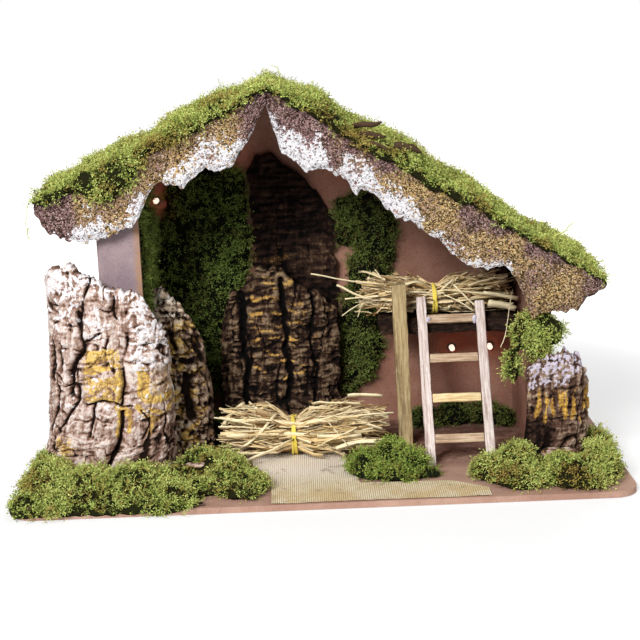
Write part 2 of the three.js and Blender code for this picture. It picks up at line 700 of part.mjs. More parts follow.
// The bark of the shelf rises in the corner between the back and the right wall
function loftCorner() {
  const [width, depth] = LOFT_CORNER_SIZE;
  const rings = [0, 0.35, 0.7, 1].map((share, level) => {
    const z = LOFT_HEIGHT - 2 * BARK_ROUGHNESS + share * (LOFT_CORNER_HEIGHT + 2 * BARK_ROUGHNESS);
    const left = loftRightX - width * (1 - 0.3 * share) + BARK_ROUGHNESS * ripple(level, 1, 4);
    const front = loftBackY - depth * (1 - 0.35 * share) + BARK_ROUGHNESS * ripple(level, 2, 6);
    const middle = (left + loftRightX) / 2;
    return [
      [loftRightX, loftBackY, z], [left, loftBackY, z], [left, front + width / 2, z],
      [middle, front, z + BARK_RAGGED_TOP * share], [loftRightX, front + width / 3, z],
    ];
  });
  return loftRings(rings);
}

const loftSolid = solidOf(loftShelf()).add(solidOf(loftCorner()));
addPiece('loft_shelf', geometryOf(loftSolid), DARK_BARK);

// Loft post: a square strip in front of the shelf edge, a little out of plumb
function loftPost() {
  const left = loftLeftX + POST_INSET;
  const outline = [
    [left, restZ], [left + POST_WIDTH, restZ],
    [left + POST_WIDTH - POST_LEAN, POST_HEIGHT + 1], [left - POST_LEAN, POST_HEIGHT],
  ];
  return plateUpright(outline, loftFrontY - GLUE_GAP - POST_DEPTH, POST_DEPTH);
}

addPiece('loft_post', loftPost(), OLIVE_WOOD);

// Ladder, leaning on the front edge of the shelf. A place on it is its distance up the slope
// from the floor line and its depth behind the front face.
const ladderRightX = hutRightX - LADDER_FROM_WALL;
const ladderLeftX = ladderRightX - LADDER_WIDTH;
const ladderRise = LOFT_HEIGHT - restZ;
const ladderBackFootY = loftFrontY - GLUE_GAP / Math.cos(LADDER_LEAN)
  - ladderRise * Math.tan(LADDER_LEAN);
const ladderFootY = ladderBackFootY - STILE_THICKNESS / Math.cos(LADDER_LEAN);

function onLadder(up, depth) {
  return [
    ladderFootY + up * Math.sin(LADDER_LEAN) + depth * Math.cos(LADDER_LEAN),
    restZ + up * Math.cos(LADDER_LEAN) - depth * Math.sin(LADDER_LEAN),
  ];
}

function ladderStile(x, length) {
  const outline = [
    [ladderFootY, restZ], [ladderBackFootY, restZ],
    onLadder(length, STILE_THICKNESS), onLadder(length, 0),
  ];
  return plateSideways(outline, x, STILE_WIDTH);
}

function ladderRung(number) {
  const low = FIRST_RUNG + (number - 1) * RUNG_PITCH;
  const near = (STILE_THICKNESS - RUNG_THICKNESS) / 2;
  const outline = [
    onLadder(low, near), onLadder(low, near + RUNG_THICKNESS),
    onLadder(low + RUNG_HEIGHT, near + RUNG_THICKNESS), onLadder(low + RUNG_HEIGHT, near),
  ];
  const left = ladderLeftX + STILE_WIDTH + GLUE_GAP;
  return plateSideways(outline, left, LADDER_WIDTH - 2 * (STILE_WIDTH + GLUE_GAP));
}

addPiece('ladder_stile_left', ladderStile(ladderLeftX, LEFT_STILE_LENGTH), PALE_WOOD);
addPiece('ladder_stile_right',
  ladderStile(ladderRightX - STILE_WIDTH, RIGHT_STILE_LENGTH), PALE_WOOD);
for (let number = 1; number <= RUNG_COUNT; number += 1) {
  addPiece(`ladder_rung_${number}`, ladderRung(number), PALE_WOOD);
}

// Cork bark standing on the base: a rough slab that follows a plan line
function planCurve(line) {
  return new THREE.CatmullRomCurve3(line.map(([x, y]) => new THREE.Vector3(x, y, 0)));
}

// How far a bark slab leans to the right, at a share of its line and of its height
function barkLean({ taper = 0 }, u, v) {
  return taper * (1 - (1 - v) ** 3) * (1 - u);
}

function barkSlab(bark) {
  const { line, tops, thickness, seed, relief = () => 0 } = bark;
  const [columns, rows] = bark.grid ?? [2 * (tops.length - 1), BARK_ROWS];
  const curve = planCurve(line);
  const surface = (side) => (u, v) => {
    const place = curve.getPoint(u);
    const along = curve.getTangent(u);
    const roughness = side > 0 ? BARK_ROUGHNESS : BARK_BACK_ROUGHNESS;
    const hollow = roughness * Math.abs(ripple(u * columns / 2, v * rows / 2, seed));
    const lean = barkLean(bark, u, v);
    const ragged = v === 1 ? BARK_RAGGED_TOP * Math.sin(u * columns * BARK_RAGGED_TURN) : 0;
    const z = THREE.MathUtils.lerp(restZ, alongList(tops, u) + ragged, v);
    const cut = side > 0 ? relief(place.x + lean, z) : 0;
    const offset = side * (thickness / 2 - Math.max(hollow, cut));
    return [place.x + along.y * offset + lean, place.y - along.x * offset, z];
  };
  return slabBetween(columns, rows, surface(1), surface(-1));
}

// How far the face of the left bark lies back at a place: its plates stand out, its cracks cut in
function leftBarkRelief(x, z) {
  const across = x - hutLeftX;
  const rises = LEFT_BARK_PLATES.map(([middle, height, halfX, halfZ, rise]) => {
    const away = Math.max(Math.abs(across - middle) / halfX, Math.abs(z - height) / halfZ);
    return rise * (1 - THREE.MathUtils.smoothstep(away, 0.8, 1.25));
  });
  const place = new THREE.Vector3(across, z, 0);
  const near = new THREE.Vector3();
  const cuts = LEFT_BARK_CRACKS.map(([depth, ...path]) => {
    const points = path.map(([a, b]) => new THREE.Vector3(a, b, 0));
    const gaps = points.slice(1).map((point, index) => new THREE.Line3(points[index], point)
      .closestPointToPoint(place, true, near).distanceTo(place));
    return depth * Math.max(0, 1 - Math.min(...gaps) / CRACK_REACH);
  });
  return PLATE_BED - Math.max(0, ...rises) + Math.max(...cuts);
}

// The space that a bark slab takes, with clearance, to cut the moss round it
function barkSpace(bark) {
  const curve = planCurve(bark.line);
  const half = bark.thickness / 2 + GLUE_GAP;
  const surface = (side) => (u, v) => {
    const place = curve.getPoint(u);
    const along = curve.getTangent(u);
    const past = (u === 1 ? GLUE_GAP : 0) - (u === 0 ? GLUE_GAP : 0);
    const z = THREE.MathUtils.lerp(floorZ, RIDGE_HEIGHT, v);
    const height = (z - floorZ) / (alongList(bark.tops, u) - floorZ);
    const lean = barkLean(bark, u, THREE.MathUtils.clamp(height, 0, 1));
    return [
      place.x + side * along.y * half + along.x * past + lean,
      place.y - side * along.x * half + along.y * past,
      z,
    ];
  };
  const rows = bark.taper ? 2 * BARK_ROWS : 1;
  return solidOf(slabBetween(2 * ROUND_STEPS, rows, surface(1), surface(-1)));
}

const fromCorner = (cornerX) => ([x, y]) => [cornerX + x, boardFrontY + y];
const fromBackWall = (thickness) => ([x, forward]) => [
  x, hutBackY - GLUE_GAP - thickness / 2 - forward,
];
const barks = {
  left_bark: {
    line: LEFT_BARK_LINE.map(fromCorner(hutLeftX)),
    tops: LEFT_BARK_DROPS.map((drop) => RIDGE_HEIGHT - drop),
    thickness: LEFT_BARK_THICKNESS, taper: LEFT_BARK_TAPER, grid: LEFT_BARK_GRID,
    relief: leftBarkRelief, seed: 2, material: CORK_BARK,
  },
  inner_bark: {
    line: INNER_BARK_LINE.map(fromCorner(hutLeftX)),
    tops: INNER_BARK_TOPS, thickness: INNER_BARK_THICKNESS, seed: 5, material: CORK_BARK,
  },
  centre_bark: {
    line: CENTRE_BARK_LINE.map(fromBackWall(CENTRE_BARK_THICKNESS)),
    tops: CENTRE_BARK_TOPS, thickness: CENTRE_BARK_THICKNESS, seed: 7, material: CORK_BARK,
  },
  tall_bark: {
    line: TALL_BARK_LINE.map(fromBackWall(TALL_BARK_THICKNESS)),
    tops: TALL_BARK_TOPS, thickness: TALL_BARK_THICKNESS, seed: 9, material: DARK_BARK,
  },
  right_bark: {
    line: RIGHT_BARK_LINE.map(fromCorner(hutRightX)),
    tops: RIGHT_BARK_TOPS, thickness: RIGHT_BARK_THICKNESS, taper: RIGHT_BARK_TAPER, seed: 11,
    material: CORK_BARK,
  },
};
for (const [name, bark] of Object.entries(barks)) {
  addPiece(name, barkSlab(bark), bark.material);
}

// Bark chips, standing on the base among the moss
function barkChip([x, y], [width, depth], grow, seed) {
  const rings = [0, 0.6, 1].map((share, level) => {
    const ring = [];
    for (let i = 0; i < CHIP_SIDES; i += 1) {
      const angle = i * 2 * Math.PI / CHIP_SIDES;
      const reach = (1 - 0.16 * level) * (1 + 0.12 * ripple(i, level, seed));
      ring.push([
        x + Math.cos(angle) * (width / 2 * reach + grow),
        y + Math.sin(angle) * (depth / 2 * reach + grow),
        restZ + share * CHIP_HEIGHT + (level ? grow : -grow),
      ]);
    }
    return ring;
  });
  return loftRings(rings);
}

const chipAt = ([x, forward]) => [x, boardFrontY - forward];
addPiece('bark_chip_left', barkChip(chipAt(LEFT_CHIP_PLACE), LEFT_CHIP_SIZE, 0, 3), CORK_BARK);
addPiece('bark_chip_right', barkChip(chipAt(RIGHT_CHIP_PLACE), RIGHT_CHIP_SIZE, 0, 6), CORK_BARK);

// Woven path
const matShape = outlineShape(MAT_OUTLINE.map(([x, y]) => [x, baseFrontY + y]));
addPiece('ground_mat', plateFlat(matShape, restZ, MAT_THICKNESS), WOVEN_PATH);

// Straw: stalks that cross in a tied waist. The bundle lies along X.
function strawBundle(place, reach, waist, spread, count, lowZ) {
  const [x, y, z] = place;
  const stalks = [];
  for (let i = 0; i < count; i += 1) {
    const angle = i * Math.PI * (3 - Math.sqrt(5));
    const share = Math.sqrt((i + 0.5) / count);
    const end = (side, turn, length) => new THREE.Vector3(
      x + side * length,
      y + Math.cos(angle + turn) * spread[0] * share,
      Math.max(z + Math.sin(angle + turn) * spread[1] * share, lowZ + 1.2 * STALK_RADIUS),
    );
    const shorter = STALK_UNEVENNESS * Math.abs(ripple(i, 2 * i, 3));
    const from = end(-1, 0, reach[0] * (1 - shorter));
    const to = end(1, STALK_TWIST, reach[1] * (1 - STALK_UNEVENNESS + shorter));
    const length = from.distanceTo(to);
    const stalk = new THREE.CylinderGeometry(STALK_RADIUS, STALK_RADIUS, length, STALK_SIDES);
    stalk.applyQuaternion(new THREE.Quaternion().setFromUnitVectors(
      new THREE.Vector3(0, 1, 0), to.clone().sub(from).normalize(),
    ));
    stalk.translate(...from.add(to).multiplyScalar(0.5).toArray());
    stalks.push(solidOf(stalk));
  }
  const core = new THREE.LatheGeometry([
    [0, -CORE_REACH * waist], [CORE_SHOULDER_RADIUS * waist, -CORE_SHOULDER * waist],
    [waist, -TIE_WIDTH], [waist, TIE_WIDTH],
    [CORE_SHOULDER_RADIUS * waist, CORE_SHOULDER * waist], [0, CORE_REACH * waist],
  ].map(([a, b]) => new THREE.Vector2(a, b)), ROUND_STEPS);
  core.rotateZ(Math.PI / 2);
  core.translate(x, y, z);
  return stalks.reduce((joined, stalk) => joined.add(stalk), solidOf(core));
}

// The raffia band round the waist of a bundle
function strawTie([x, y, z], waist) {
  const inner = waist + TIE_GAP;
  const outer = inner + TIE_THICKNESS;
  const half = TIE_WIDTH / 2;
  const band = new THREE.LatheGeometry([
    [inner, -half], [outer, -half], [outer, half], [inner, half], [inner, -half],
  ].map(([a, b]) => new THREE.Vector2(a, b)), 2 * ROUND_STEPS);
  band.rotateZ(Math.PI / 2);
  band.translate(x, y, z);
  return band;
}

// A bundle lies on its tie, so its waist is a tie thickness above the surface
const strawBoxes = [];

function addStraw(name, [x, y], surfaceZ, reach, waist, spread, count) {
  const place = [x, y, surfaceZ + GLUE_GAP + TIE_THICKNESS + TIE_GAP + waist];
  const bundle = strawBundle(place, reach, waist, spread, count, surfaceZ + GLUE_GAP);
  const tie = solidOf(strawTie(place, waist));
  const tieSpace = solidOf(tieRoom(place, waist));
  addPiece(name, geometryOf(largestBody(bundle.subtract(tieSpace))), STRAW);
  addPiece(`${name}_tie`, geometryOf(tie), RAFFIA);
  strawBoxes.push(bundle.boundingBox());
}

// The room a tie needs: everything outside the waist, over the width of the band
function tieRoom([x, y, z], waist) {
  const inner = waist;
  const outer = 2 * waist;
  const half = TIE_WIDTH / 2 + TIE_GAP;
  const room = new THREE.LatheGeometry([
    [inner, -half], [outer, -half], [outer, half], [inner, half], [inner, -half],
  ].map(([a, b]) => new THREE.Vector2(a, b)), 2 * ROUND_STEPS);
  room.rotateZ(Math.PI / 2);
  room.translate(x, y, z);
  return room;
}

addStraw('floor_straw', [FLOOR_STRAW_X, hutBackY - FLOOR_STRAW_FROM_BACK],
  restZ + MAT_THICKNESS, FLOOR_STRAW_REACH, FLOOR_STRAW_WAIST, FLOOR_STRAW_SPREAD,
  FLOOR_STRAW_STALKS);
addStraw('loft_straw', [hutRightX - LOFT_STRAW_FROM_WALL, hutBackY - LOFT_STRAW_FROM_BACK],
  LOFT_HEIGHT, LOFT_STRAW_REACH, LOFT_STRAW_WAIST, LOFT_STRAW_SPREAD, LOFT_STRAW_STALKS);

// What the moss has to stay clear of
function grownBox(low, high) {
  return solidOf(boxBetween(
    low.map((value) => value - GLUE_GAP), high.map((value) => value + GLUE_GAP),
  ));
}

const wallLeftX = hutLeftX - SIDE_WALL_THICKNESS;
const wallRightX = hutRightX + SIDE_WALL_THICKNESS;
const loftBottomZ = LOFT_HEIGHT - LOFT_THICKNESS;
const mossKeepOut = [
  grownBox([-BASE_WIDTH, -BASE_DEPTH, -RIDGE_HEIGHT], [BASE_WIDTH, BASE_DEPTH, floorZ]),
  grownBox([wallLeftX, hutBackY, 0], [wallRightX, backFaceY, RIDGE_HEIGHT]),
  grownBox([wallLeftX, hutFrontY, 0], [hutLeftX, hutBackY, RIDGE_HEIGHT]),
  grownBox([hutRightX, hutFrontY, 0], [wallRightX, hutBackY, RIDGE_HEIGHT]),
  grownBox([boardLeftX, boardFrontY, 0], [boardLeftEndX, hutFrontY, RIDGE_HEIGHT]),
  grownBox([hutRightX, boardFrontY, 0], [boardRightX, hutFrontY, RIDGE_HEIGHT]),
  grownBox([loftLeftX, loftFrontY, loftBottomZ], [loftRightX, loftBackY, LOFT_HEIGHT]),
  solidOf(barkChip(chipAt(LEFT_CHIP_PLACE), LEFT_CHIP_SIZE, GLUE_GAP, 3)),
  solidOf(barkChip(chipAt(RIGHT_CHIP_PLACE), RIGHT_CHIP_SIZE, GLUE_GAP, 6)),
  solidOf(plateFlat(matShape, 0, restZ + MAT_THICKNESS + GLUE_GAP)),
  solidOf(fascia(1, RIGHT_ROOF_WIDTH, RIGHT_FASCIA_DROPS, GLUE_GAP)),
  ...strawBoxes.map(({ min, max }) => grownBox(min, max)),
  ...Object.values(barks).map(barkSpace),
  ...[ladderLeftX, ladderRightX - STILE_WIDTH].map((x) => grownBox(
    [x, ladderFootY, 0],
    [x + STILE_WIDTH, ladderBackFootY + MOSS_LADDER_ROOM, 2 * MOSS_LADDER_ROOM],
  )),
  ...lampPlaces.map(([x, z]) => solidOf(
    pegAlongY(x, z, LAMP_CLEARING, hutBackY - HUT_DEPTH / 2, HUT_DEPTH / 2),
  )),
];

// Moss: rounded lumps run together, cut clear of what they lie against
function mossHeap(name, lumps, material, extraKeepOut = []) {
  const balls = lumps.map(([x, y, z, halfX, halfY, halfZ]) => {
    const ball = new THREE.IcosahedronGeometry(1, 1);
    ball.rotateZ(x);
    ball.scale(halfX, halfY, halfZ);
    ball.translate(x, y, z);
    return solidOf(ball);
  });
  let heap = balls.reduce((joined, ball) => joined.add(ball));
  for (const space of [...mossKeepOut, ...extraKeepOut]) {
    heap = heap.subtract(space);
  }
  addPiece(name, geometryOf(largestBody(heap)), material);
}

const fromFront = ([x, y, halfX, halfY, height]) => [
  x, baseFrontY + y, restZ, halfX, halfY, height,
];
const fromBack = ([x, y, halfX, halfY, height]) => [x, hutBackY - y, restZ, halfX, halfY, height];
const onBackWall = ([x, z, halfX, halfZ, thick]) => [x, hutBackY, z, halfX, thick, halfZ];
const onLeftWall = ([y, z, halfY, halfZ, thick]) => [
  hutLeftX, hutFrontY + y, z, thick, halfY, halfZ,
];
mossHeap('ground_moss_left', LEFT_MOSS_LUMPS.map(fromFront), MOSS_GREEN);
mossHeap('ground_moss_centre', CENTRE_MOSS_LUMPS.map(fromFront), MOSS_GREEN);
mossHeap('ground_moss_right', RIGHT_MOSS_LUMPS.map(fromFront), MOSS_GREEN);
mossHeap('ground_moss_back', BACK_MOSS_LUMPS.map(fromBack), DEEP_MOSS);
mossHeap('ground_moss_inner', INNER_MOSS_LUMPS.map(fromBack), DEEP_MOSS);
mossHeap('wall_moss_left', [
  ...LEFT_WALL_MOSS_LUMPS.map(onBackWall), ...SIDE_WALL_MOSS_LUMPS.map(onLeftWall),
], DEEP_MOSS);
mossHeap('wall_moss_right', RIGHT_WALL_MOSS_LUMPS.map(onBackWall), DEEP_MOSS);
const capBottomZ = Math.max(...RIGHT_BARK_TOPS);
mossHeap('bark_cap_moss', CAP_MOSS_LUMPS.map(([x, z, halfX, halfY, halfZ]) => [
  hutRightX + x, boardFrontY - halfY / 2, capBottomZ + z, halfX, halfY, halfZ,
]), MOSS_GREEN);

// Lamps: a bulb pushed into a socket, which is pushed into its hole from behind
function turnedAlongY(profile, x, y, z) {
  const geometry = new THREE.LatheGeometry(
    profile.map(([radius, place]) => new THREE.Vector2(radius, place)), ROUND_STEPS,
  );
  geometry.translate(x, y, z);
  return geometry;
}

function lampSocket(x, z) {
  const body = SOCKET_DIAMETER / 2;
  const bore = BULB_DIAMETER / 2 + FIT_GAP;
  const front = hutBackY - SOCKET_PROUD;
  const collarY = backFaceY + GLUE_GAP - front;
  return turnedAlongY([
    [0, SOCKET_BORE_DEPTH], [bore, SOCKET_BORE_DEPTH], [bore, 0], [body, 0], [body, collarY],
    [SOCKET_COLLAR_DIAMETER / 2, collarY],
    [SOCKET_COLLAR_DIAMETER / 2, collarY + SOCKET_COLLAR_THICKNESS],
    [body, collarY + SOCKET_COLLAR_THICKNESS], [body, SOCKET_LENGTH], [0, SOCKET_LENGTH],
  ], x, front, z);
}

function bulb(x, z) {
  const radius = BULB_DIAMETER / 2;
  const seatY = hutBackY - SOCKET_PROUD + SOCKET_BORE_DEPTH - FIT_GAP;
  const dome = [];
  for (let step = 0; step <= 3; step += 1) {
    const angle = step * Math.PI / 6;
    dome.push([radius * Math.sin(angle), -BULB_LENGTH + radius * (1 - Math.cos(angle))]);
  }
  return turnedAlongY([...dome, [radius, 0], [0, 0]], x, seatY, z);
}

lampPlaces.forEach(([x, z], index) => {
  addPiece(`lamp_socket_${index + 1}`, lampSocket(x, z), GREEN_PLASTIC);
  addPiece(`bulb_${index + 1}`, bulb(x, z), LAMP_GLASS);
});

// Battery box. Its own places run from its left end, its wall side and its lower edge.
const boxLeftX = BOX_CENTRE_X - BOX_LENGTH / 2;
const boxBackY = backFaceY + GLUE_GAP;
const boxLowZ = BOX_CENTRE_Z - BOX_WIDTH / 2;
const cellAxisY = BOX_WALL + FIT_GAP + CELL_DIAMETER / 2;
const coverY = cellAxisY + CELL_DIAMETER / 2 + 2 * FIT_GAP;
const channelFrom = coverY - COVER_GAP;
const channelTo = coverY + COVER_THICKNESS + COVER_GAP;
const boxDepth = channelTo + BOX_LIP_THICKNESS;
const contactRoom = FIT_GAP + CONTACT_THICKNESS;
const cellBayLength = 2 * contactRoom + FIT_GAP + SPRING_LENGTH + FIT_GAP
  + CELL_LENGTH + CELL_PIN_LENGTH + FIT_GAP;
const cellBayEnd = BOX_WALL + cellBayLength;
const switchBayStart = cellBayEnd + BOX_WALL;
const switchBayEnd = BOX_LENGTH - BOX_WALL;
const switchAxisY = BOX_WALL + SWITCH_BODY[1] / 2 + SWITCH_BODY_FROM_BACK;
const switchX = (switchBayStart + switchBayEnd) / 2;
const wireY = BOX_WALL + WIRE_DIAMETER / 2 + WIRE_HOLE_FROM_BACK;
const wireHoleZ = BOX_WIDTH / 4;

function inBox(low, high) {
  const shift = [boxLeftX, boxBackY, boxLowZ];
  return solidOf(boxBetween(
    low.map((value, axis) => value + shift[axis]), high.map((value, axis) => value + shift[axis]),
  ));
}

function cylinderAlongX(x, y, z, radius, length, tipRadius = radius) {
  const geometry = new THREE.CylinderGeometry(radius, tipRadius, length, ROUND_STEPS);
  geometry.rotateZ(Math.PI / 2);
  geometry.translate(boxLeftX + x + length / 2, boxBackY + y, boxLowZ + z);
  return solidOf(geometry);
}

function batteryCase() {
  const shape = roundedRectangle(BOX_LENGTH, BOX_WIDTH, BOX_CORNER_RADIUS);
  const block = new THREE.ExtrudeGeometry(shape, {
    depth: boxDepth, bevelEnabled: false, curveSegments: BASE_CORNER_STEPS,
  });
  block.rotateX(Math.PI / 2);
  block.translate(BOX_CENTRE_X, boxBackY + boxDepth, BOX_CENTRE_Z);
  const inner = BOX_WIDTH - BOX_WALL;
  const slotLength = SWITCH_STEM[0] + SWITCH_TRAVEL + 2 * FIT_GAP;
  const slotHalf = SWITCH_STEM[1] / 2 + FIT_GAP;
  const holeRadius = WIRE_DIAMETER / 2 + WIRE_HOLE_GAP;
  const cuts = [
    inBox([BOX_WALL, BOX_WALL, BOX_WALL], [cellBayEnd, boxDepth + 1, inner]),
    inBox([switchBayStart, BOX_WALL, BOX_WALL], [switchBayEnd, boxDepth + 1, inner]),
    inBox([-1, channelFrom, BOX_WALL - COVER_TONGUE],
      [switchBayEnd, channelTo, inner + COVER_TONGUE]),
    inBox([-1, channelTo - 0.1, BOX_WALL], [switchBayEnd, boxDepth + 1, inner]),
    inBox([switchX - slotLength / 2, switchAxisY - slotHalf, inner - 1],
      [switchX + slotLength / 2, switchAxisY + slotHalf, BOX_WIDTH + 1]),
    cylinderAlongX(switchBayEnd - 1, wireY, wireHoleZ, holeRadius, BOX_WALL + 2),
  ];
  return cuts.reduce((body, cut) => body.subtract(cut), solidOf(block));
}

function batteryCover() {
  const edge = BOX_WALL - COVER_TONGUE + COVER_GAP;
  const length = switchBayEnd - COVER_GAP;
  const middle = BOX_WALL + COVER_GAP;
  const topY = coverY + COVER_THICKNESS + COVER_GAP + BOX_LIP_THICKNESS;
  let cover = inBox([0, coverY, edge], [length, coverY + COVER_THICKNESS, BOX_WIDTH - edge])
    .add(inBox([0, coverY + FUSE_OVERLAP, middle], [length, topY, BOX_WIDTH - middle]));
  for (let rib = 0; rib < COVER_RIB_COUNT; rib += 1) {
    const x = COVER_RIB_PITCH * (rib + 1);
    cover = cover.add(inBox(
      [x, topY - FUSE_OVERLAP, (BOX_WIDTH - COVER_RIB_LENGTH) / 2],
      [x + COVER_RIB_WIDTH, topY + COVER_RIB_HEIGHT, (BOX_WIDTH + COVER_RIB_LENGTH) / 2],
    ));
  }
  return cover;
}

// The knob rests at the right end of its slot, where the lamps are on
function switchKnob() {
  const stemX = switchX + SWITCH_TRAVEL / 2;
  const flangeTop = BOX_WIDTH - BOX_WALL - FIT_GAP;
  const part = ([length, width], low, high) => inBox(
    [stemX - length / 2, switchAxisY - width / 2, low],
    [stemX + length / 2, switchAxisY + width / 2, high],
  );
  return part(SWITCH_FLANGE, flangeTop - SWITCH_FLANGE[2], flangeTop)
    .add(part(SWITCH_STEM, flangeTop - FUSE_OVERLAP, BOX_WIDTH + SWITCH_PROUD));
}

function switchBody() {
  const top = BOX_WIDTH - BOX_WALL - 2 * FIT_GAP - SWITCH_FLANGE[2];
  return inBox(
    [switchX - SWITCH_BODY[0] / 2, switchAxisY - SWITCH_BODY[1] / 2, top - SWITCH_BODY[2]],
    [switchX + SWITCH_BODY[0] / 2, switchAxisY + SWITCH_BODY[1] / 2, top],
  );
}

// Cells lie side by side, turned opposite ways
const cellZ = [(BOX_WIDTH - CELL_PITCH) / 2, (BOX_WIDTH + CELL_PITCH) / 2];
const leftContactX = BOX_WALL + FIT_GAP;
const rightContactX = cellBayEnd - FIT_GAP - CONTACT_THICKNESS;
const springRoom = contactRoom + SPRING_LENGTH + 2 * FIT_GAP;

function roundCell(number) {
  const z = cellZ[number];
  const pinToRight = number === 0;
  const pinRoom = contactRoom + FIT_GAP;
  const start = BOX_WALL + (pinToRight ? springRoom : pinRoom + CELL_PIN_LENGTH);
  const pinX = pinToRight ? start + CELL_LENGTH - FUSE_OVERLAP : start - CELL_PIN_LENGTH;
  const pinLength = CELL_PIN_LENGTH + FUSE_OVERLAP;
  return cylinderAlongX(start, cellAxisY, z, CELL_DIAMETER / 2, CELL_LENGTH)
    .add(cylinderAlongX(pinX, cellAxisY, z, CELL_PIN_DIAMETER / 2, pinLength));
}

function contactPlate(x, lowZ, highZ) {
  const half = CONTACT_WIDTH / 2;
  return inBox(
    [x, cellAxisY - half, lowZ - half], [x + CONTACT_THICKNESS, cellAxisY + half, highZ + half],
  );
}

function contactSpring(fromX, z, side) {
  const [wide, tip] = [SPRING_DIAMETER / 2, SPRING_TIP_DIAMETER / 2];
  const start = side > 0 ? fromX + CONTACT_THICKNESS - 0.1 : fromX - SPRING_LENGTH + 0.1;
  return side > 0
    ? cylinderAlongX(start, cellAxisY, z, wide, SPRING_LENGTH, tip)
    : cylinderAlongX(start, cellAxisY, z, tip, SPRING_LENGTH, wide);
}

addPiece('battery_case', geometryOf(batteryCase()), BLACK_PLASTIC);
addPiece('battery_cover', geometryOf(batteryCover()), BLACK_PLASTIC);
addPiece('switch_knob', geometryOf(switchKnob()), BLACK_PLASTIC);
addPiece('switch_body', geometryOf(switchBody()), BRIGHT_METAL);
addPiece('cell_1', geometryOf(roundCell(0)), CELL_SKIN);
addPiece('cell_2', geometryOf(roundCell(1)), CELL_SKIN);
addPiece('contact_bridge', geometryOf(contactPlate(leftContactX, ...cellZ)
  .add(contactSpring(leftContactX, cellZ[0], 1))), BRIGHT_METAL);
addPiece('contact_spring', geometryOf(contactPlate(rightContactX, cellZ[1], cellZ[1])
  .add(contactSpring(rightContactX, cellZ[1], -1))), BRIGHT_METAL);
addPiece('contact_plate',
  geometryOf(contactPlate(rightContactX, cellZ[0], cellZ[0])), BRIGHT_METAL);

// Lamp wire: from the switch bay out through its hole, then along the back of the wall. It rises
// over the end of each socket and lies on the wall between them.
function lampWire() {
  const liesY = backFaceY + WIRE_LIFT + WIRE_DIAMETER / 2;
  const crestY = hutBackY - SOCKET_PROUD + SOCKET_LENGTH + WIRE_LIFT + WIRE_DIAMETER / 2;
  const endX = boxLeftX + BOX_LENGTH;
  const holeY = boxBackY + wireY;
  const holeZ = boxLowZ + wireHoleZ;
  const points = [
    [endX - BOX_WALL - WIRE_INSIDE_BOX, holeY, holeZ], [endX - BOX_WALL, holeY, holeZ],
    [endX + WIRE_SETTLE_RUN / 8, holeY, holeZ], [endX + WIRE_SETTLE_RUN / 2, liesY + 1, holeZ],
    [endX + WIRE_SETTLE_RUN, liesY, holeZ],
  ];
  lampPlaces.forEach(([x, z], index) => {
    const before = index ? lampPlaces[index - 1] : [endX + WIRE_SETTLE_RUN, holeZ];
    const after = lampPlaces[index + 1];
    const into = new THREE.Vector2(x - before[0], z - before[1]).normalize();
    const out = after ? new THREE.Vector2(after[0] - x, after[1] - z).normalize() : into;
    for (const run of [WIRE_LEVEL_RUN, WIRE_RISE_RUN]) {
      points.push([x - into.x * run, liesY, z - into.y * run]);
    }
    points.push([x - into.x * WIRE_CREST, crestY, z - into.y * WIRE_CREST]);
    points.push([x + out.x * WIRE_CREST, crestY, z + out.y * WIRE_CREST]);
    for (const run of after ? [WIRE_RISE_RUN, WIRE_LEVEL_RUN] : []) {
      points.push([x + out.x * run, liesY, z + out.y * run]);
    }
  });
  const route = new THREE.CatmullRomCurve3(
    points.map((point) => new THREE.Vector3(...point)), false, 'centripetal',
  );
  const section = new THREE.Shape();
  section.absarc(0, 0, WIRE_DIAMETER / 2, 0, 2 * Math.PI);
  return new THREE.ExtrudeGeometry(section, {
    steps: WIRE_STEPS, curveSegments: WIRE_ARC_STEPS, extrudePath: route, bevelEnabled: false,
  });
}

addPiece('lamp_wire', lampWire(), BLACK_PLASTIC);

export default stable;
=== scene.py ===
import math
import bpy
import numpy as np
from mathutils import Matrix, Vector


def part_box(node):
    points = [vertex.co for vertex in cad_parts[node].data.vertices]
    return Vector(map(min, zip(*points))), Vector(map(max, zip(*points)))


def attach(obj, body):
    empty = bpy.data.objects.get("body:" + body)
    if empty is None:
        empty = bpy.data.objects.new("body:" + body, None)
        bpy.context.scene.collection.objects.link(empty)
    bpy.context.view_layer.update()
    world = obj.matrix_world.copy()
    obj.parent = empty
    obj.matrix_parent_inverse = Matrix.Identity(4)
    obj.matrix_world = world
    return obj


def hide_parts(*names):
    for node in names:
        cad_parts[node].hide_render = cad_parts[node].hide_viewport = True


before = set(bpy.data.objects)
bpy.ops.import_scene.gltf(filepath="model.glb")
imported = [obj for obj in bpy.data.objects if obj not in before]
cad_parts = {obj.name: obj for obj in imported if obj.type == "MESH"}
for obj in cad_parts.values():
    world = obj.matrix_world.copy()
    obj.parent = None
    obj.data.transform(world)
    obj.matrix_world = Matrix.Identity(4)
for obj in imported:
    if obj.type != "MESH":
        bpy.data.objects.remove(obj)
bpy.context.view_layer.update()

# Photographer's stand
# The stable stands on a white table. The camera looks at its open front from a little above,
# turned slightly on its own axis. One big soft lamp stands at the left, a weaker one at the right.
STAND = Vector((-0.0050, -1.1690, 0.3839))
LOOKS_DOWN = math.radians(12.485)
LOOKS_RIGHT = math.radians(0.36)
LEANS = math.radians(2.15)
camera_data = bpy.data.cameras.new("front_camera")
camera_data.lens = 78.75
camera_data.sensor_width = 36
camera_data.clip_start = 0.02
camera = bpy.data.objects.new("front_camera", camera_data)
bpy.context.scene.collection.objects.link(camera)
bpy.context.scene.camera = camera
bpy.context.scene.view_settings.view_transform = "Standard"
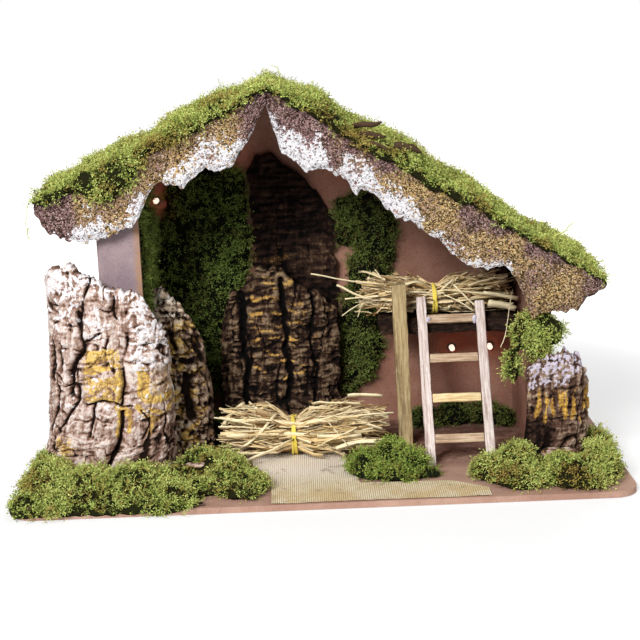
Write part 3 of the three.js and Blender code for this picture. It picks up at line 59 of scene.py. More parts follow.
ahead = Vector((
    math.sin(LOOKS_RIGHT) * math.cos(LOOKS_DOWN),
    math.cos(LOOKS_RIGHT) * math.cos(LOOKS_DOWN),
    -math.sin(LOOKS_DOWN),
))
level = ahead.cross(Vector((0, 0, 1))).normalized()
upright = level.cross(ahead)
sideways = level * math.cos(LEANS) - upright * math.sin(LEANS)
upwards = upright * math.cos(LEANS) + level * math.sin(LEANS)
for axis, direction in enumerate((sideways, upwards, -ahead)):
    for row in range(3):
        camera.matrix_world[row][axis] = direction[row]
camera.matrix_world.translation = STAND


def soft_lamp(name, place, target, width, power):
    data = bpy.data.lights.new(name, "AREA")
    data.size = width
    data.energy = power
    lamp = bpy.data.objects.new(name, data)
    bpy.context.scene.collection.objects.link(lamp)
    lamp.location = place
    lamp.rotation_euler = (Vector(target) - Vector(place)).to_track_quat("-Z", "Y").to_euler()


soft_lamp("window_left", (-0.85, -1.8, 1.3), (0, 0, 0.12), 0.8, 62)
soft_lamp("window_right", (1.6, -1.1, 1.0), (0, 0, 0.12), 1.0, 11)
soft_lamp("window_back", (0.3, 1.6, 1.3), (0, 0, 0.15), 1.2, 16)

def shader_node(tree, kind, inputs, **settings):
    """A shader node; inputs gives a value or another node's socket, by name or by number."""
    node = tree.nodes.new("ShaderNode" + kind)
    for name, value in settings.items():
        setattr(node, name, value)
    for place, value in inputs.items():
        if isinstance(value, bpy.types.NodeSocket):
            tree.links.new(value, node.inputs[place])
        else:
            node.inputs[place].default_value = value
    return node


room = bpy.data.worlds.new("white_room")
bpy.context.scene.world = room
room.use_nodes = True
room_tree = room.node_tree
room_light = room_tree.nodes["Background"]
room_light.inputs["Color"].default_value = (1, 1, 1, 1)
room_light.inputs["Strength"].default_value = 0.21
room_seen = shader_node(room_tree, "Background", {"Color": (1, 1, 1, 1), "Strength": 1.0})
room_ray = shader_node(room_tree, "LightPath", {})
room_mix = shader_node(room_tree, "MixShader", {
    0: room_ray.outputs["Is Camera Ray"], 1: room_light.outputs[0], 2: room_seen.outputs[0],
})
room_tree.links.new(room_mix.outputs[0], room_tree.nodes["World Output"].inputs["Surface"])

table_mesh = bpy.data.meshes.new("table_top")
table_mesh.from_pydata(
    [(-4, -4, -0.0004), (4, -4, -0.0004), (4, 6, -0.0004), (-4, 6, -0.0004)], [], [(0, 1, 2, 3)]
)
table_top = bpy.data.objects.new("table_top", table_mesh)
bpy.context.scene.collection.objects.link(table_top)
table_white = bpy.data.materials.new("table_white")
table_white.use_nodes = True
white_tree = table_white.node_tree
white_shader = white_tree.nodes["Principled BSDF"]
white_shader.inputs["Base Color"].default_value = (0.55, 0.55, 0.55, 1)
white_shader.inputs["Roughness"].default_value = 0.9
white_place = shader_node(white_tree, "TexCoord", {})
white_far = shader_node(
    white_tree, "VectorMath", {0: white_place.outputs["Object"]}, operation="LENGTH")
white_rise = shader_node(white_tree, "MapRange", {
    "Value": white_far.outputs["Value"],
    "From Min": 0.3, "From Max": 0.9, "To Min": 0.45, "To Max": 1.0,
}, interpolation_type="SMOOTHSTEP")
white_glow = shader_node(white_tree, "Emission", {"Strength": white_rise.outputs["Result"]})
white_dark = shader_node(white_tree, "Emission", {"Strength": 0.0})
white_ray = shader_node(white_tree, "LightPath", {})
white_pick = shader_node(white_tree, "MixShader", {
    0: white_ray.outputs["Is Camera Ray"], 1: white_dark.outputs[0], 2: white_glow.outputs[0],
})
white_sum = shader_node(
    white_tree, "AddShader", {0: white_shader.outputs[0], 1: white_pick.outputs[0]})
white_tree.links.new(white_sum.outputs[0], white_tree.nodes["Material Output"].inputs["Surface"])
table_mesh.materials.append(table_white)


# Base board
# A sheet of 5 mm hardboard with rounded corners, sawn and then painted a matt pinkish brown.
# The paint is thin: the fibres show through it as fine specks, most of all at the cut edge.
def tone(code):
    """A colour from its sRGB code, as the shader wants it."""
    parts = [int(code[i:i + 2], 16) / 255 for i in (1, 3, 5)]
    return [p / 12.92 if p <= 0.04045 else ((p + 0.055) / 1.055) ** 2.4 for p in parts] + [1]


class Finish:
    """A finish, built up from patterns that lie in the object's own space, in metres."""

    def __init__(self, name, roughness=0.85, gloss=0.25):
        self.material = bpy.data.materials.new(name)
        self.material.use_nodes = True
        self.tree = self.material.node_tree
        self.shader = self.tree.nodes["Principled BSDF"]
        self.shader.inputs["Roughness"].default_value = roughness
        self.shader.inputs["Specular IOR Level"].default_value = gloss
        self.space = self.node("TexCoord", {}).outputs["Object"]

    def node(self, kind, inputs, **settings):
        return shader_node(self.tree, kind, inputs, **settings)

    def stretched(self, x, y, z, turn=(0, 0, 0)):
        return self.node("Mapping", {
            "Scale": (1 / x, 1 / y, 1 / z), "Rotation": turn, "Vector": self.space,
        }, vector_type="TEXTURE").outputs["Vector"]

    def mottle(self, size, detail=3, rough=0.55, space=None):
        return self.node("TexNoise", {
            "Scale": 1 / size, "Detail": detail, "Roughness": rough, "Vector": space or self.space,
        }).outputs["Fac"]

    def grains(self, size):
        return self.node("TexVoronoi", {
            "Scale": 1 / size, "Vector": self.space,
        }).outputs["Distance"]

    def crumbs(self, size):
        """Small grains: how far from a grain's middle, and a random number for each grain."""
        push = self.node("TexNoise", {"Scale": 0.5 / size, "Vector": self.space})
        shift = self.node("VectorMath", {
            0: push.outputs["Color"], 1: (0.0016, 0.0016, 0.0016), 2: self.space,
        }, operation="MULTIPLY_ADD")
        grain = self.node("TexVoronoi", {"Scale": 1 / size, "Vector": shift.outputs["Vector"]})
        split = self.node("SeparateColor", {0: grain.outputs["Color"]})
        return grain.outputs["Distance"], split.outputs[0]

    def painted(self):
        """The three numbers that made_mesh stores at each point."""
        paint = self.node("Attribute", {}, attribute_name="paint")
        return self.node("SeparateColor", {0: paint.outputs["Color"]}).outputs

    def place(self):
        """How far along x, y and z, in metres."""
        return self.node("SeparateXYZ", {0: self.space}).outputs

    def between(self, value, low, high, to_low=0.0, to_high=1.0):
        return self.node("MapRange", {
            "Value": value, "From Min": low, "From Max": high, "To Min": to_low, "To Max": to_high,
        }, interpolation_type="SMOOTHSTEP").outputs["Result"]

    def times(self, a, b, how="MULTIPLY"):
        return self.node("Math", {0: a, 1: b}, operation=how).outputs[0]

    def over(self, share, below, above):
        """One colour over another; share is a pattern, or what between needs to make one."""
        if isinstance(share, tuple):
            share = self.between(*share)
        below, above = (tone(part) if isinstance(part, str) else part for part in (below, above))
        return self.node("Mix", {0: share, 6: below, 7: above}, data_type="RGBA").outputs[2]

    def relief(self, height, depth, first=None):
        bump = self.node("Bump", {"Distance": depth, "Height": height})
        if first is not None:
            self.tree.links.new(first, bump.inputs["Normal"])
        self.tree.links.new(bump.outputs["Normal"], self.shader.inputs["Normal"])
        return bump.outputs["Normal"]

    def colour(self, value):
        self.tree.links.new(value, self.shader.inputs["Base Color"])

    def cloudy(self, size, dark, pale):
        """Two close colours in clouds of one size."""
        self.colour(self.over((self.mottle(size), 0.3, 0.7), dark, pale))

    def brushed(self, share, colour):
        """One more colour over the finished ones."""
        below = self.shader.inputs["Base Color"].links[0].from_socket
        self.colour(self.over(share, below, colour))

    def rough(self, value):
        self.tree.links.new(value, self.shader.inputs["Roughness"])


def hardboard_paint(name, paint, light, dark, specks=0.5):
    """Matt paint on hardboard: cloudy, with fine fibres and a few dark and pale specks."""
    board = Finish(name)
    clouds = board.between(board.mottle(0.045, 4, 0.6), 0.35, 0.7)
    fibres = board.mottle(0.0016, 4, 0.7)
    colour = board.over(clouds, paint, light)
    colour = board.over((fibres, 0.5, 0.75, 0, specks), colour, dark)
    scratches = board.mottle(0.011, 2, 0.5, board.stretched(1, 1, 0.16, (0, 0.5, 0)))
    colour = board.over((scratches, 0.72, 0.78, 0, 0.6), colour, dark)
    pale = board.grains(0.006)
    colour = board.over((pale, 0.1, 0.03, 0, 0.5), colour, light)
    board.colour(colour)
    board.rough(board.between(fibres, 0.3, 0.7, 0.75, 0.95))
    board.relief(fibres, 0.0002)
    return board


def dress(node, finish):
    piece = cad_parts[node]
    piece.data.materials.clear()
    piece.data.materials.append(finish.material)


base_paint = hardboard_paint("base_paint", "#ab8574", "#c19d8a", "#6f5044")
base_place = base_paint.place()
# Inside the hut the floor is darker in mottled patches: partly soil, partly painted shade under the
# roof.
indoor_soil_and_shade = base_paint.times(base_paint.between(base_place[1], -0.06, -0.02, 0, 0.85),
                           base_paint.between(base_place[1], 0.096, 0.09))
indoor_soil_and_shade = base_paint.times(indoor_soil_and_shade, base_paint.between(base_place[0], -0.15, -0.14))
indoor_soil_and_shade = base_paint.times(indoor_soil_and_shade, base_paint.between(base_place[0], 0.206, 0.2))
soil_and_shade_mottle = base_paint.between(base_paint.mottle(0.01, 4, 0.65), 0.32, 0.62, 0.5, 1.1)
base_paint.brushed(base_paint.times(indoor_soil_and_shade, soil_and_shade_mottle), "#66463a")
dress("base_board", base_paint)

# Walls
# Hardboard again: back wall and right wall in terracotta brown, glued into a box and painted
# inside and out. The narrow boards beside the opening have a mauve-grey coat over the brown.
wall_paint = hardboard_paint("wall_paint", "#8e6352", "#a67c6a", "#432a24", 0.7)
grey_paint = hardboard_paint("grey_paint", "#85747a", "#a08c8c", "#5a4443", 0.6)
for node in ("back_wall", "left_wall", "right_wall"):
    dress(node, wall_paint)
dress("front_board_right", grey_paint)
arris_paint = hardboard_paint("arris_paint", "#85747a", "#a08c8c", "#5a4443", 0.6)
rubbed = arris_paint.between(arris_paint.place()[0], -0.1500, -0.1448, 0, 0.7)
uneven = arris_paint.between(arris_paint.mottle(0.004, 3, 0.6), 0.3, 0.6, 0.5, 1.2)
arris_paint.brushed(arris_paint.times(rubbed, uneven), "#a07a58")
dress("front_board_left", arris_paint)

# Roof panels
# Two hardboard panels, glued to the walls with the edge of one against the other at the ridge.
# Only their dark undersides and edges show, under the moss.
roof_paint = hardboard_paint("roof_paint", "#5c3f36", "#6f4e42", "#2e1d19", 0.6)
dress("roof_panel_left", roof_paint)
dress("roof_panel_right", roof_paint)
RIDGE_X = -34
RIDGE_Z = 325
ROOF_FRONT = -45
ROOF_BACK = 102
FROM_RIDGE = 0.15


def roof_top(x):
    fall = np.where(x < RIDGE_X, math.tan(math.radians(23.8)), math.tan(math.radians(31.5)))
    return RIDGE_Z - np.abs(x - RIDGE_X) * fall


# Torn cork edges
# A strip of cork granulate bark is torn by hand along its lower edge and glued to the front of
# each roof panel. It is mauve brown at the top, golden in the middle and dabbed white at the tear.
def lottery(cells, seed):
    """A repeatable random number from 0 to 1 for each row of whole numbers."""
    mixed = np.full(len(cells), seed * 7919 + 17, np.uint64)
    for column in np.asarray(cells).T:
        mixed = (mixed ^ (column.astype(np.int64).view(np.uint64))) * np.uint64(0x9E3779B97F4A7C15)
        mixed = mixed ^ (mixed >> np.uint64(29))
    return (mixed >> np.uint64(40)).astype(float) / 2 ** 24


TURNED = {
    2: np.array([[0.825, -0.565], [0.565, 0.825]]),
    3: np.array([[0.825, -0.432, 0.364], [0.565, 0.631, -0.532], [0, 0.644, 0.765]]),
}


def drift(points, size, seed=0):
    """Smooth unevenness from -1 to 1, whose swells are about size wide. Its grid lies askew."""
    scaled = points @ TURNED[points.shape[1]] / size
    base = np.floor(scaled).astype(np.int64)
    share = scaled - base
    share = share * share * (3 - 2 * share)
    total = np.zeros(len(points))
    for corner in range(2 ** points.shape[1]):
        step = np.array([(corner >> axis) & 1 for axis in range(points.shape[1])])
        weight = np.prod(np.where(step, share, 1 - share), axis=1)
        total += weight * lottery(base + step, seed)
    return 2 * total - 1


def plates(points, seed=0):
    """Irregular plates, one to a unit square: how far it is to a joint, and a random number
    for the plate."""
    cell = np.floor(points).astype(np.int64)
    nearest = np.full(len(points), 9.0)
    second = nearest.copy()
    number = np.zeros(len(points))
    for step in [(i, j) for i in (-1, 0, 1) for j in (-1, 0, 1)]:
        other = cell + np.array(step)
        spot = other + 0.1 + 0.8 * np.stack([lottery(other, seed), lottery(other, seed + 1)], 1)
        gap = np.hypot(*(points - spot).T)
        closer = gap < nearest
        second = np.where(closer, nearest, np.minimum(second, gap))
        number = np.where(closer, lottery(other, seed + 2), number)
        nearest = np.minimum(nearest, gap)
    return second - nearest, number


def smooth(value, low, high):
    share = np.clip((value - low) / (high - low), 0, 1)
    return share * share * (3 - 2 * share)


def two_way(points, size, other, seed):
    """Unevenness in both directions of a face, each with its own size."""
    return np.stack([drift(points, size, seed), drift(points, other, seed + 1)], 1)


def walked(line):
    """How far along a line of points each of them lies."""
    return np.concatenate([[0], np.cumsum(np.hypot(*np.diff(line, axis=0).T))])


def unit(vectors):
    return vectors / np.linalg.norm(vectors, axis=-1)[..., None]


def made_mesh(name, points, faces, finish, stands_for=(), paint=None):
    """A fixed piece from points in millimetres and arrays of three- and four-sided faces."""
    mesh = bpy.data.meshes.new(name)
    points = np.asarray(points, float) / 1000
    faces = [np.asarray(part, np.int32) for part in faces if len(part)]
    mesh.vertices.add(len(points))
    mesh.vertices.foreach_set("co", points.astype(np.float32).ravel())
    loops = np.concatenate([part.ravel() for part in faces])
    sides = np.concatenate([np.full(len(part), part.shape[1], np.int32) for part in faces])
    mesh.loops.add(len(loops))
    mesh.loops.foreach_set("vertex_index", loops)
    mesh.polygons.add(len(sides))
    mesh.polygons.foreach_set("loop_start", np.concatenate([[0], np.cumsum(sides)[:-1]]))
    mesh.update(calc_edges=True)
    mesh.polygons.foreach_set("use_smooth", np.ones(len(sides), bool))
    if paint is not None:
        layer = mesh.color_attributes.new("paint", "FLOAT_COLOR", "POINT")
        colours = np.ones((len(points), 4), np.float32)
        colours[:, :3] = paint
        layer.data.foreach_set("color", colours.ravel())
    mesh.materials.append(finish.material)
    piece = bpy.data.objects.new(name, mesh)
    bpy.context.scene.collection.objects.link(piece)
    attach(piece, "stable")
    if stands_for:
        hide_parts(*stands_for)
    return piece


def skin(grid):
    """The four-sided faces over a grid of points."""
    corners = [grid[:-1, :-1], grid[:-1, 1:], grid[1:, 1:], grid[1:, :-1]]
    return np.stack(corners, 2).reshape(-1, 4)


def slab_faces(rows, columns):
    """Faces that close a front and a back grid of points into one slab."""
    front = np.arange(rows * columns).reshape(rows, columns)
    back = front + rows * columns
    rims = [(front[0], back[0]), (back[-1], front[-1]), (back[:, 0], front[:, 0]),
            (front[:, -1], back[:, -1])]
    return np.concatenate([skin(front), skin(back)[:, ::-1]] + [
        np.stack([a[:-1], b[:-1], b[1:], a[1:]], 1) for a, b in rims])


LEFT_DROPS = [12, 26, 36, 47, 48, 40, 42, 47, 39, 32, 42, 55, 54, 55, 53, 54, 45, 39, 32, 9]
RIGHT_DROPS = [
    18, 45, 46, 50, 43, 37, 40, 43, 34, 39, 45, 44, 43, 43, 47, 50, 50, 49, 41, 35, 45, 66, 57,
    50, 42, 33, 17, 5,
]
# Where the white dabs begin, as X and the share of the way from the roof down to the tear
LEFT_WHITE = [
    (-224, 1.3), (-200, 1.1), (-192, 0.7), (-182, 0.6), (-170, 0.66), (-164, 0.92), (-152, 0.92),
    (-148, 0.7), (-138, 0.66), (-134, 0.98), (-120, 0.98), (-115, 0.66), (-104, 0.56), (-96, 0.5),
    (-68, 0.5), (-58, 0.64), (-52, 0.95), (-34, 1.15),
]
RIGHT_WHITE = [
    (-34, 0.75), (-26, 0.5), (-20, 0.4), (-4, 0.36), (8, 0.38), (14, 0.85), (22, 0.85), (27, 0.42),
    (40, 0.38), (52, 0.46), (62, 0.54), (68, 0.44), (82, 0.52), (88, 0.88), (104, 0.87),
    (126, 0.85), (134, 0.8), (158, 0.84), (166, 1.2), (236, 1.5),
]

STRIP_THICKNESS = 6
GLUE_LINE = 0.3
granulate = Finish("cork_granulate", 0.95, 0.15)
marks = granulate.painted()
grit = granulate.mottle(0.0016, 3, 0.65)
gap, lot = granulate.crumbs(0.0017)
fine_gap, fine_lot = granulate.crumbs(0.0009)
mauve = granulate.over((lot, 0.05, 0.95), "#49322f", "#a37f7d")
mauve = granulate.over((fine_lot, 0.8, 0.88), mauve, "#c9aea6")
gold = granulate.over((lot, 0.05, 0.95), "#6b5138", "#e0ba7c")
gold = granulate.over((fine_lot, 0.74, 0.84), gold, "#f0d79c")
ochre_lot = granulate.times(marks[0], granulate.times(lot, fine_lot, "ADD"), "SUBTRACT")
crust = granulate.over((ochre_lot, -0.8, -0.2), mauve, gold)
crust = granulate.over((fine_lot, 0.24, 0.14, 0, 0.9), crust, "#211512")
pits = granulate.between(marks[2], 0.16, 0.42, 0.9, 0)
crust = granulate.over(pits, crust, "#1d1211")
crust = granulate.over((fine_gap, 0.62, 0.8, 0, 0.7), crust, "#1d1211")
chalk = granulate.between(granulate.times(marks[1], lot, "SUBTRACT"), -0.02, 0.06)
chalk = granulate.times(chalk, granulate.between(fine_lot, 0.1, 0.16, 0.1, 1.0))
chalk = granulate.times(chalk, granulate.between(marks[2], 0.1, 0.3, 0.45, 1.0))
granulate.colour(granulate.over(chalk, crust, granulate.over(grit, "#ffffff", "#e6dfe6")))
granulate.relief(fine_gap, 0.0009)


def torn_strip(name, side, width, drops, white, gilt, seed):
    """A strip along one slope: straight at the roof, torn at its lower edge."""
    columns = int(width * 1.15)
    rows = 62
    run = np.linspace(FROM_RIDGE, width, columns)
    x = RIDGE_X + side * run
    top = roof_top(x)
    drop = np.interp(run, np.linspace(FROM_RIDGE, width, len(drops)), drops)
    line = np.stack([x, 0 * x], 1)
    tear = 1.8 * drift(line, 7, seed) + 2.3 * drift(line, 3.2, seed + 1)
    drop = np.maximum(drop + tear, 1.5)
    share = np.linspace(0, 1, rows)[:, None]
    grid_x = np.repeat(x[None], rows, 0)
    grid_z = top - share * drop
    flat = np.stack([grid_x.ravel(), grid_z.ravel()], 1)
    sway = two_way(flat, 5, 5, seed + 2)
    joint, number = plates((flat + 1.2 * sway) / 3.1, seed + 4)
    fine_joint = plates((flat + 0.5 * sway) / 1.5, seed + 7)[0]
    crumbs = smooth(joint, 0, 0.35) * (0.7 + 0.9 * number) + 0.5 * smooth(fine_joint, 0, 0.4)
    edge = np.repeat(share, columns, 1).ravel()
    thin = smooth(edge, 0.86, 1.0)
    swell = 1.6 * drift(flat, 22, seed + 9) + 0.7 * drift(flat, 9, seed + 10)
    front_y = ROOF_FRONT - GLUE_LINE - STRIP_THICKNESS + 1.4 - crumbs - swell * 0.7 + 2.6 * thin
    back_y = np.full(len(flat), ROOF_FRONT - GLUE_LINE) - 1.2 * thin
    push = 0.6 * (number - 0.5)
    front = np.stack([flat[:, 0] + push, front_y, flat[:, 1] + push], 1)
    back = np.stack([flat[:, 0], back_y, flat[:, 1]], 1)
    begins = np.interp(flat[:, 0], *zip(*white))
    ragged = 0.16 * drift(flat, 8, seed + 11) + 0.12 * drift(flat, 2.5, seed + 12)
    chalky = 0.92 * smooth(edge + ragged - begins, -0.12, 0.26)
    golden = smooth(edge + 0.34 * drift(flat, 14, seed + 13), *gilt[:2])
    golden = golden * (0.9 + 0.45 * drift(flat, 17, seed + 14))
    golden = golden * smooth(flat[:, 0], *gilt[2:4]) * smooth(flat[:, 0], *gilt[4:])
    open_joint = np.minimum(smooth(joint, 0, 0.22), 0.35 + smooth(fine_joint, 0, 0.3))
    paint = np.stack([golden, chalky, open_joint], 1)
    made_mesh(
        name, np.concatenate([front, back]), [slab_faces(rows, columns)], granulate,
        (f"fascia_{'left' if side < 0 else 'right'}",),
        np.concatenate([paint, paint]),
    )


torn_strip("torn_edge_left", -1, 190, LEFT_DROPS, LEFT_WHITE, (-0.1, 0.3, -200, -186, -46, -62), 3)
torn_strip("torn_edge_right", 1, 270, RIGHT_DROPS, RIGHT_WHITE, (-0.05, 0.3, 6, 40, 232, 212), 21)

# Loft shelf
# A rough slab of dark bark, glued to the back wall and the right wall. Its front edge is broken
# and splintery, and it reaches a little further forward beside the wall.
dark_bark = Finish("dark_bark", 0.95, 0.12)
layers = dark_bark.mottle(0.0022, 4, 0.65, dark_bark.stretched(0.35, 0.35, 1.6))
patches = dark_bark.mottle(0.014, 3, 0.6)
brown = dark_bark.over((layers, 0.35, 0.7), "#130c0a", "#3d2b22")
brown = dark_bark.over((patches, 0.5, 0.72, 0, 0.6), brown, "#5d4837")
dark_bark.colour(brown)
dark_bark.relief(layers, 0.0012)


def even_copy(node, facet):
    """A CAD solid with even facets: its points in millimetres, its faces and its normals."""
    copy = bpy.data.objects.new("copy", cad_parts[node].data.copy())
    bpy.context.scene.collection.objects.link(copy)
    remesh = copy.modifiers.new("even", "REMESH")
    remesh.mode = "VOXEL"
    remesh.voxel_size = facet / 1000
    made = copy.evaluated_get(bpy.context.evaluated_depsgraph_get()).to_mesh()
    points = np.zeros(len(made.vertices) * 3, np.float32)
    made.vertices.foreach_get("co", points)
    normals = np.zeros(len(made.vertices) * 3, np.float32)
    made.vertices.foreach_get("normal", normals)
    faces = np.zeros(len(made.loops), np.int32)
    made.loops.foreach_get("vertex_index", faces)
    quads = faces.reshape(-1, 4)
    bpy.data.objects.remove(copy)
    return points.reshape(-1, 3).astype(float) * 1000, quads, normals.reshape(-1, 3).astype(float)


def loft_bark():
    points, quads, normals = even_copy("loft_shelf", 1.2)
    layered = drift(points * (0.35, 0.35, 1.6), 4, 2)
    rough = 0.9 * drift(points, 6, 1) + 0.8 * layered + 0.5 * drift(points, 2.2, 3) - 0.4
    edge = smooth(points[:, 1], 92.4, 88)
    made_mesh("loft_slab", points + normals * (rough * edge)[:, None], [quads], dark_bark,
              ("loft_shelf",))


loft_bark()

# Loft post and ladder
# Sawn strips of soft wood with worn corners, washed with thin paint. The ladder's rungs are cut
# to length and held between the stiles with drops of clear glue; it leans on the loft's edge.
def sawn_wood(name, pale, mid, dark, stretch, lean=0):
    """Rough sawn wood with a thin wash; stretch and lean turn the grain along the strip."""
    wood = Finish(name, 0.8)
    along = wood.stretched(*stretch, (lean, 0, 0))
    grain = wood.mottle(0.0013, 4, 0.65, along)
    bands = wood.mottle(0.004, 3, 0.5, along)
    wash = wood.mottle(0.012, 3, 0.6)
    colour = wood.over((grain, 0.35, 0.68), mid, pale)
    colour = wood.over((bands, 0.52, 0.7, 0, 0.7), colour, dark)
    colour = wood.over((wash, 0.5, 0.75, 0, 0.5), colour, pale)
    wood.colour(colour)
    wood.relief(grain, 0.0005)
    return wood


def strip_of_wood(name, node, finish, seed):
    points, quads, normals = even_copy(node, 0.9)
    worn = 0.35 * drift(points, 9, seed) + 0.12 * drift(points, 1.6, seed + 1)
    made_mesh(name, points + normals * (worn - 0.15)[:, None], [quads], finish,
              (node,))


LADDER_LEAN = math.radians(-30)
UPRIGHT = (1.0, 1.0, 0.07)
post_wood = sawn_wood("post_wood", "#c2ae84", "#957c55", "#5a462f", UPRIGHT)
stile_wood = sawn_wood("stile_wood", "#ece0da", "#c2ada3", "#86695a", UPRIGHT, LADDER_LEAN)
rung_wood = sawn_wood("rung_wood", "#d3bb9c", "#a5866b", "#6c4f3b", (0.07, 1.0, 1.0), LADDER_LEAN)
pale_rung_wood = sawn_wood("pale_rung", "#f3dfae", "#cba873", "#8a6641", (0.07, 1.0, 1.0),
                           LADDER_LEAN)
strip_of_wood("post_strip", "loft_post", post_wood, 4)
strip_of_wood("stile_left", "ladder_stile_left", stile_wood, 7)
strip_of_wood("stile_right", "ladder_stile_right", stile_wood, 9)
for number in range(1, 5):
    strip_of_wood(f"rung_{number}", f"ladder_rung_{number}",
                  pale_rung_wood if number == 2 else rung_wood, 10 + number)
glue = Finish("set_glue", 0.3, 0.5)
glue.cloudy(0.002, "#b3aabd", "#dcd7e4")


def glue_drop(name, place, size, seed):
    """A drop of glue: a lumpy round of 12 by 16 facets."""
    turn, rise = np.meshgrid(np.arange(16) * np.pi / 8, np.linspace(-1.45, 1.45, 12))
    ball = np.stack([np.cos(turn) * np.cos(rise), np.sin(turn) * np.cos(rise), np.sin(rise)], 2)
    ball = ball.reshape(-1, 3) * np.array(size)
    ball = ball * (1 + 0.3 * drift(ball, 2.2, seed))[:, None] + np.array(place)
    grid = np.arange(12 * 16).reshape(12, 16)
    turned_grid = np.roll(grid, -1, axis=1)
    faces = np.stack([grid[:-1], turned_grid[:-1], turned_grid[1:], grid[1:]], 2).reshape(-1, 4)
    lids = [np.array([[ring[0], ring[i], ring[i + 1]] for i in range(1, 15)])
            for ring in (grid[0][::-1], grid[-1])]
    made_mesh(name, ball, [faces, *lids], glue)


top_rung_low, top_rung_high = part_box("ladder_rung_4")
rung_front = top_rung_low.y * 1000 + 1.5
rung_middle = (top_rung_low.z + top_rung_high.z) * 500
glue_drop("glue_left", (top_rung_low.x * 1000 + 1, rung_front, rung_middle), (1.9, 1.3, 3.0), 1)
glue_drop("glue_right", (top_rung_high.x * 1000 - 1, rung_front, rung_middle - 1),
          (1.8, 1.3, 3.8), 2)

# Cork bark
# Five pieces of virgin cork bark stand glued on the base and against the walls. They are furrowed
# upright, split into plates by level cracks, and dry brushed: white at the top, ochre lower down.
def cork_finish(name, dark, brown, beige, pale, ochre, gold, white):
    """Cork: darkest in its cracks and palest on its plates, by the painted light in mark[0], partly
    its own colour and partly painted shade and highlight, with ochre and white brushed over.
    """
    cork = Finish(name, 0.95, 0.12)
    mark = cork.painted()
    fine = cork.mottle(0.0015, 4, 0.7)
    patch = cork.mottle(0.009, 3, 0.6)
    threads = cork.mottle(0.0016, 3, 0.6, cork.stretched(1, 1, 0.22))
    # mark[0] is painted light: low in cracks and hollows, high on ridges and plates; partly the
    # cork's own colour, partly painted shade and highlight.
    level = cork.times(mark[0], cork.between(fine, 0.25, 0.75, 0.72, 1.25))
    level = cork.times(level, cork.between(threads, 0.3, 0.7, 0.8, 1.15))
    skin = cork.over((level, 0.12, 0.36), dark, brown)
    skin = cork.over((level, 0.34, 0.6), skin, beige)
    skin = cork.over((level, 0.56, 0.85), skin, pale)
    skin = cork.over((patch, 0.52, 0.7, 0, 0.45), skin, brown)
    gilt = cork.over((cork.times(level, fine), 0.12, 0.42), ochre, gold)
    worn = cork.times(mark[1], cork.between(fine, 0.3, 0.6, 0.5, 1.45))
    skin = cork.over((worn, 0.28, 0.85, 0, 0.92), skin, gilt)
    lime = cork.between(cork.times(mark[2], cork.between(fine, 0.3, 0.62, 0.4, 1.5)), 0.4, 0.66)
    skin = cork.over(lime, skin, white)
    cork.colour(cork.over((level, 0.2, 0.02), skin, dark))
    cork.relief(fine, 0.0011)
    return cork


cork = cork_finish("cork_bark", "#1f130e", "#846555", "#c0a598", "#e6d7cf", "#a17d4b", "#edc55e",
                   "#f1ecee")
# shaded_cork is a darker copy of the cork for the centre and tall barks under the roof, partly
# their own darker cork and partly painted shade.
shaded_cork = cork_finish("shaded_cork", "#080504", "#2c1d17", "#54402f", "#85705a", "#6b4c29",
                          "#cfa256", "#c9bfae")
brown_cork = cork_finish("brown_cork", "#150c09", "#583f33", "#937a67", "#bfab96", "#8f6833",
                         "#e9b84e", "#cdc4d2")
porous_cork = cork_finish("porous_cork", "#1a110c", "#6b5344", "#a8917c", "#d3c1a7", "#a07a3e",
                          "#efc768", "#e9e0d6")


# How high over the ground the pieces on the base begin
STANDS_AT = 5.3


def plan_line(line, u):
    """A smooth line through plan points, each stretch taking the same share of u."""
    line = np.array(line, float)
    ends = np.concatenate([[2 * line[0] - line[1]], line, [2 * line[-1] - line[-2]]])
    place = np.clip(u, 0, 1) * (len(line) - 1)
    first = np.minimum(place.astype(int), len(line) - 2)
    t = (place - first)[:, None]
    a, b, c, d = (ends[first + i] for i in range(4))
    return 0.5 * (2 * b + (c - a) * t + (2 * a - 5 * b + 4 * c - d) * t ** 2
                  + (3 * b - a - 3 * c + d) * t ** 3)


def gap_to(across, up, line):
    """How far places on the face of a bark lie from a line of points, in millimetres."""
    near = np.full(len(across), 99.0)
    for (ax, az), (bx, bz) in zip(line, line[1:]):
        reach = np.array([bx - ax, bz - az], float)
        share = np.clip(((across - ax) * reach[0] + (up - az) * reach[1]) / (reach @ reach), 0, 1)
        near = np.minimum(near, np.hypot(across - ax - share * reach[0],
                                         up - az - share * reach[1]))
    return near


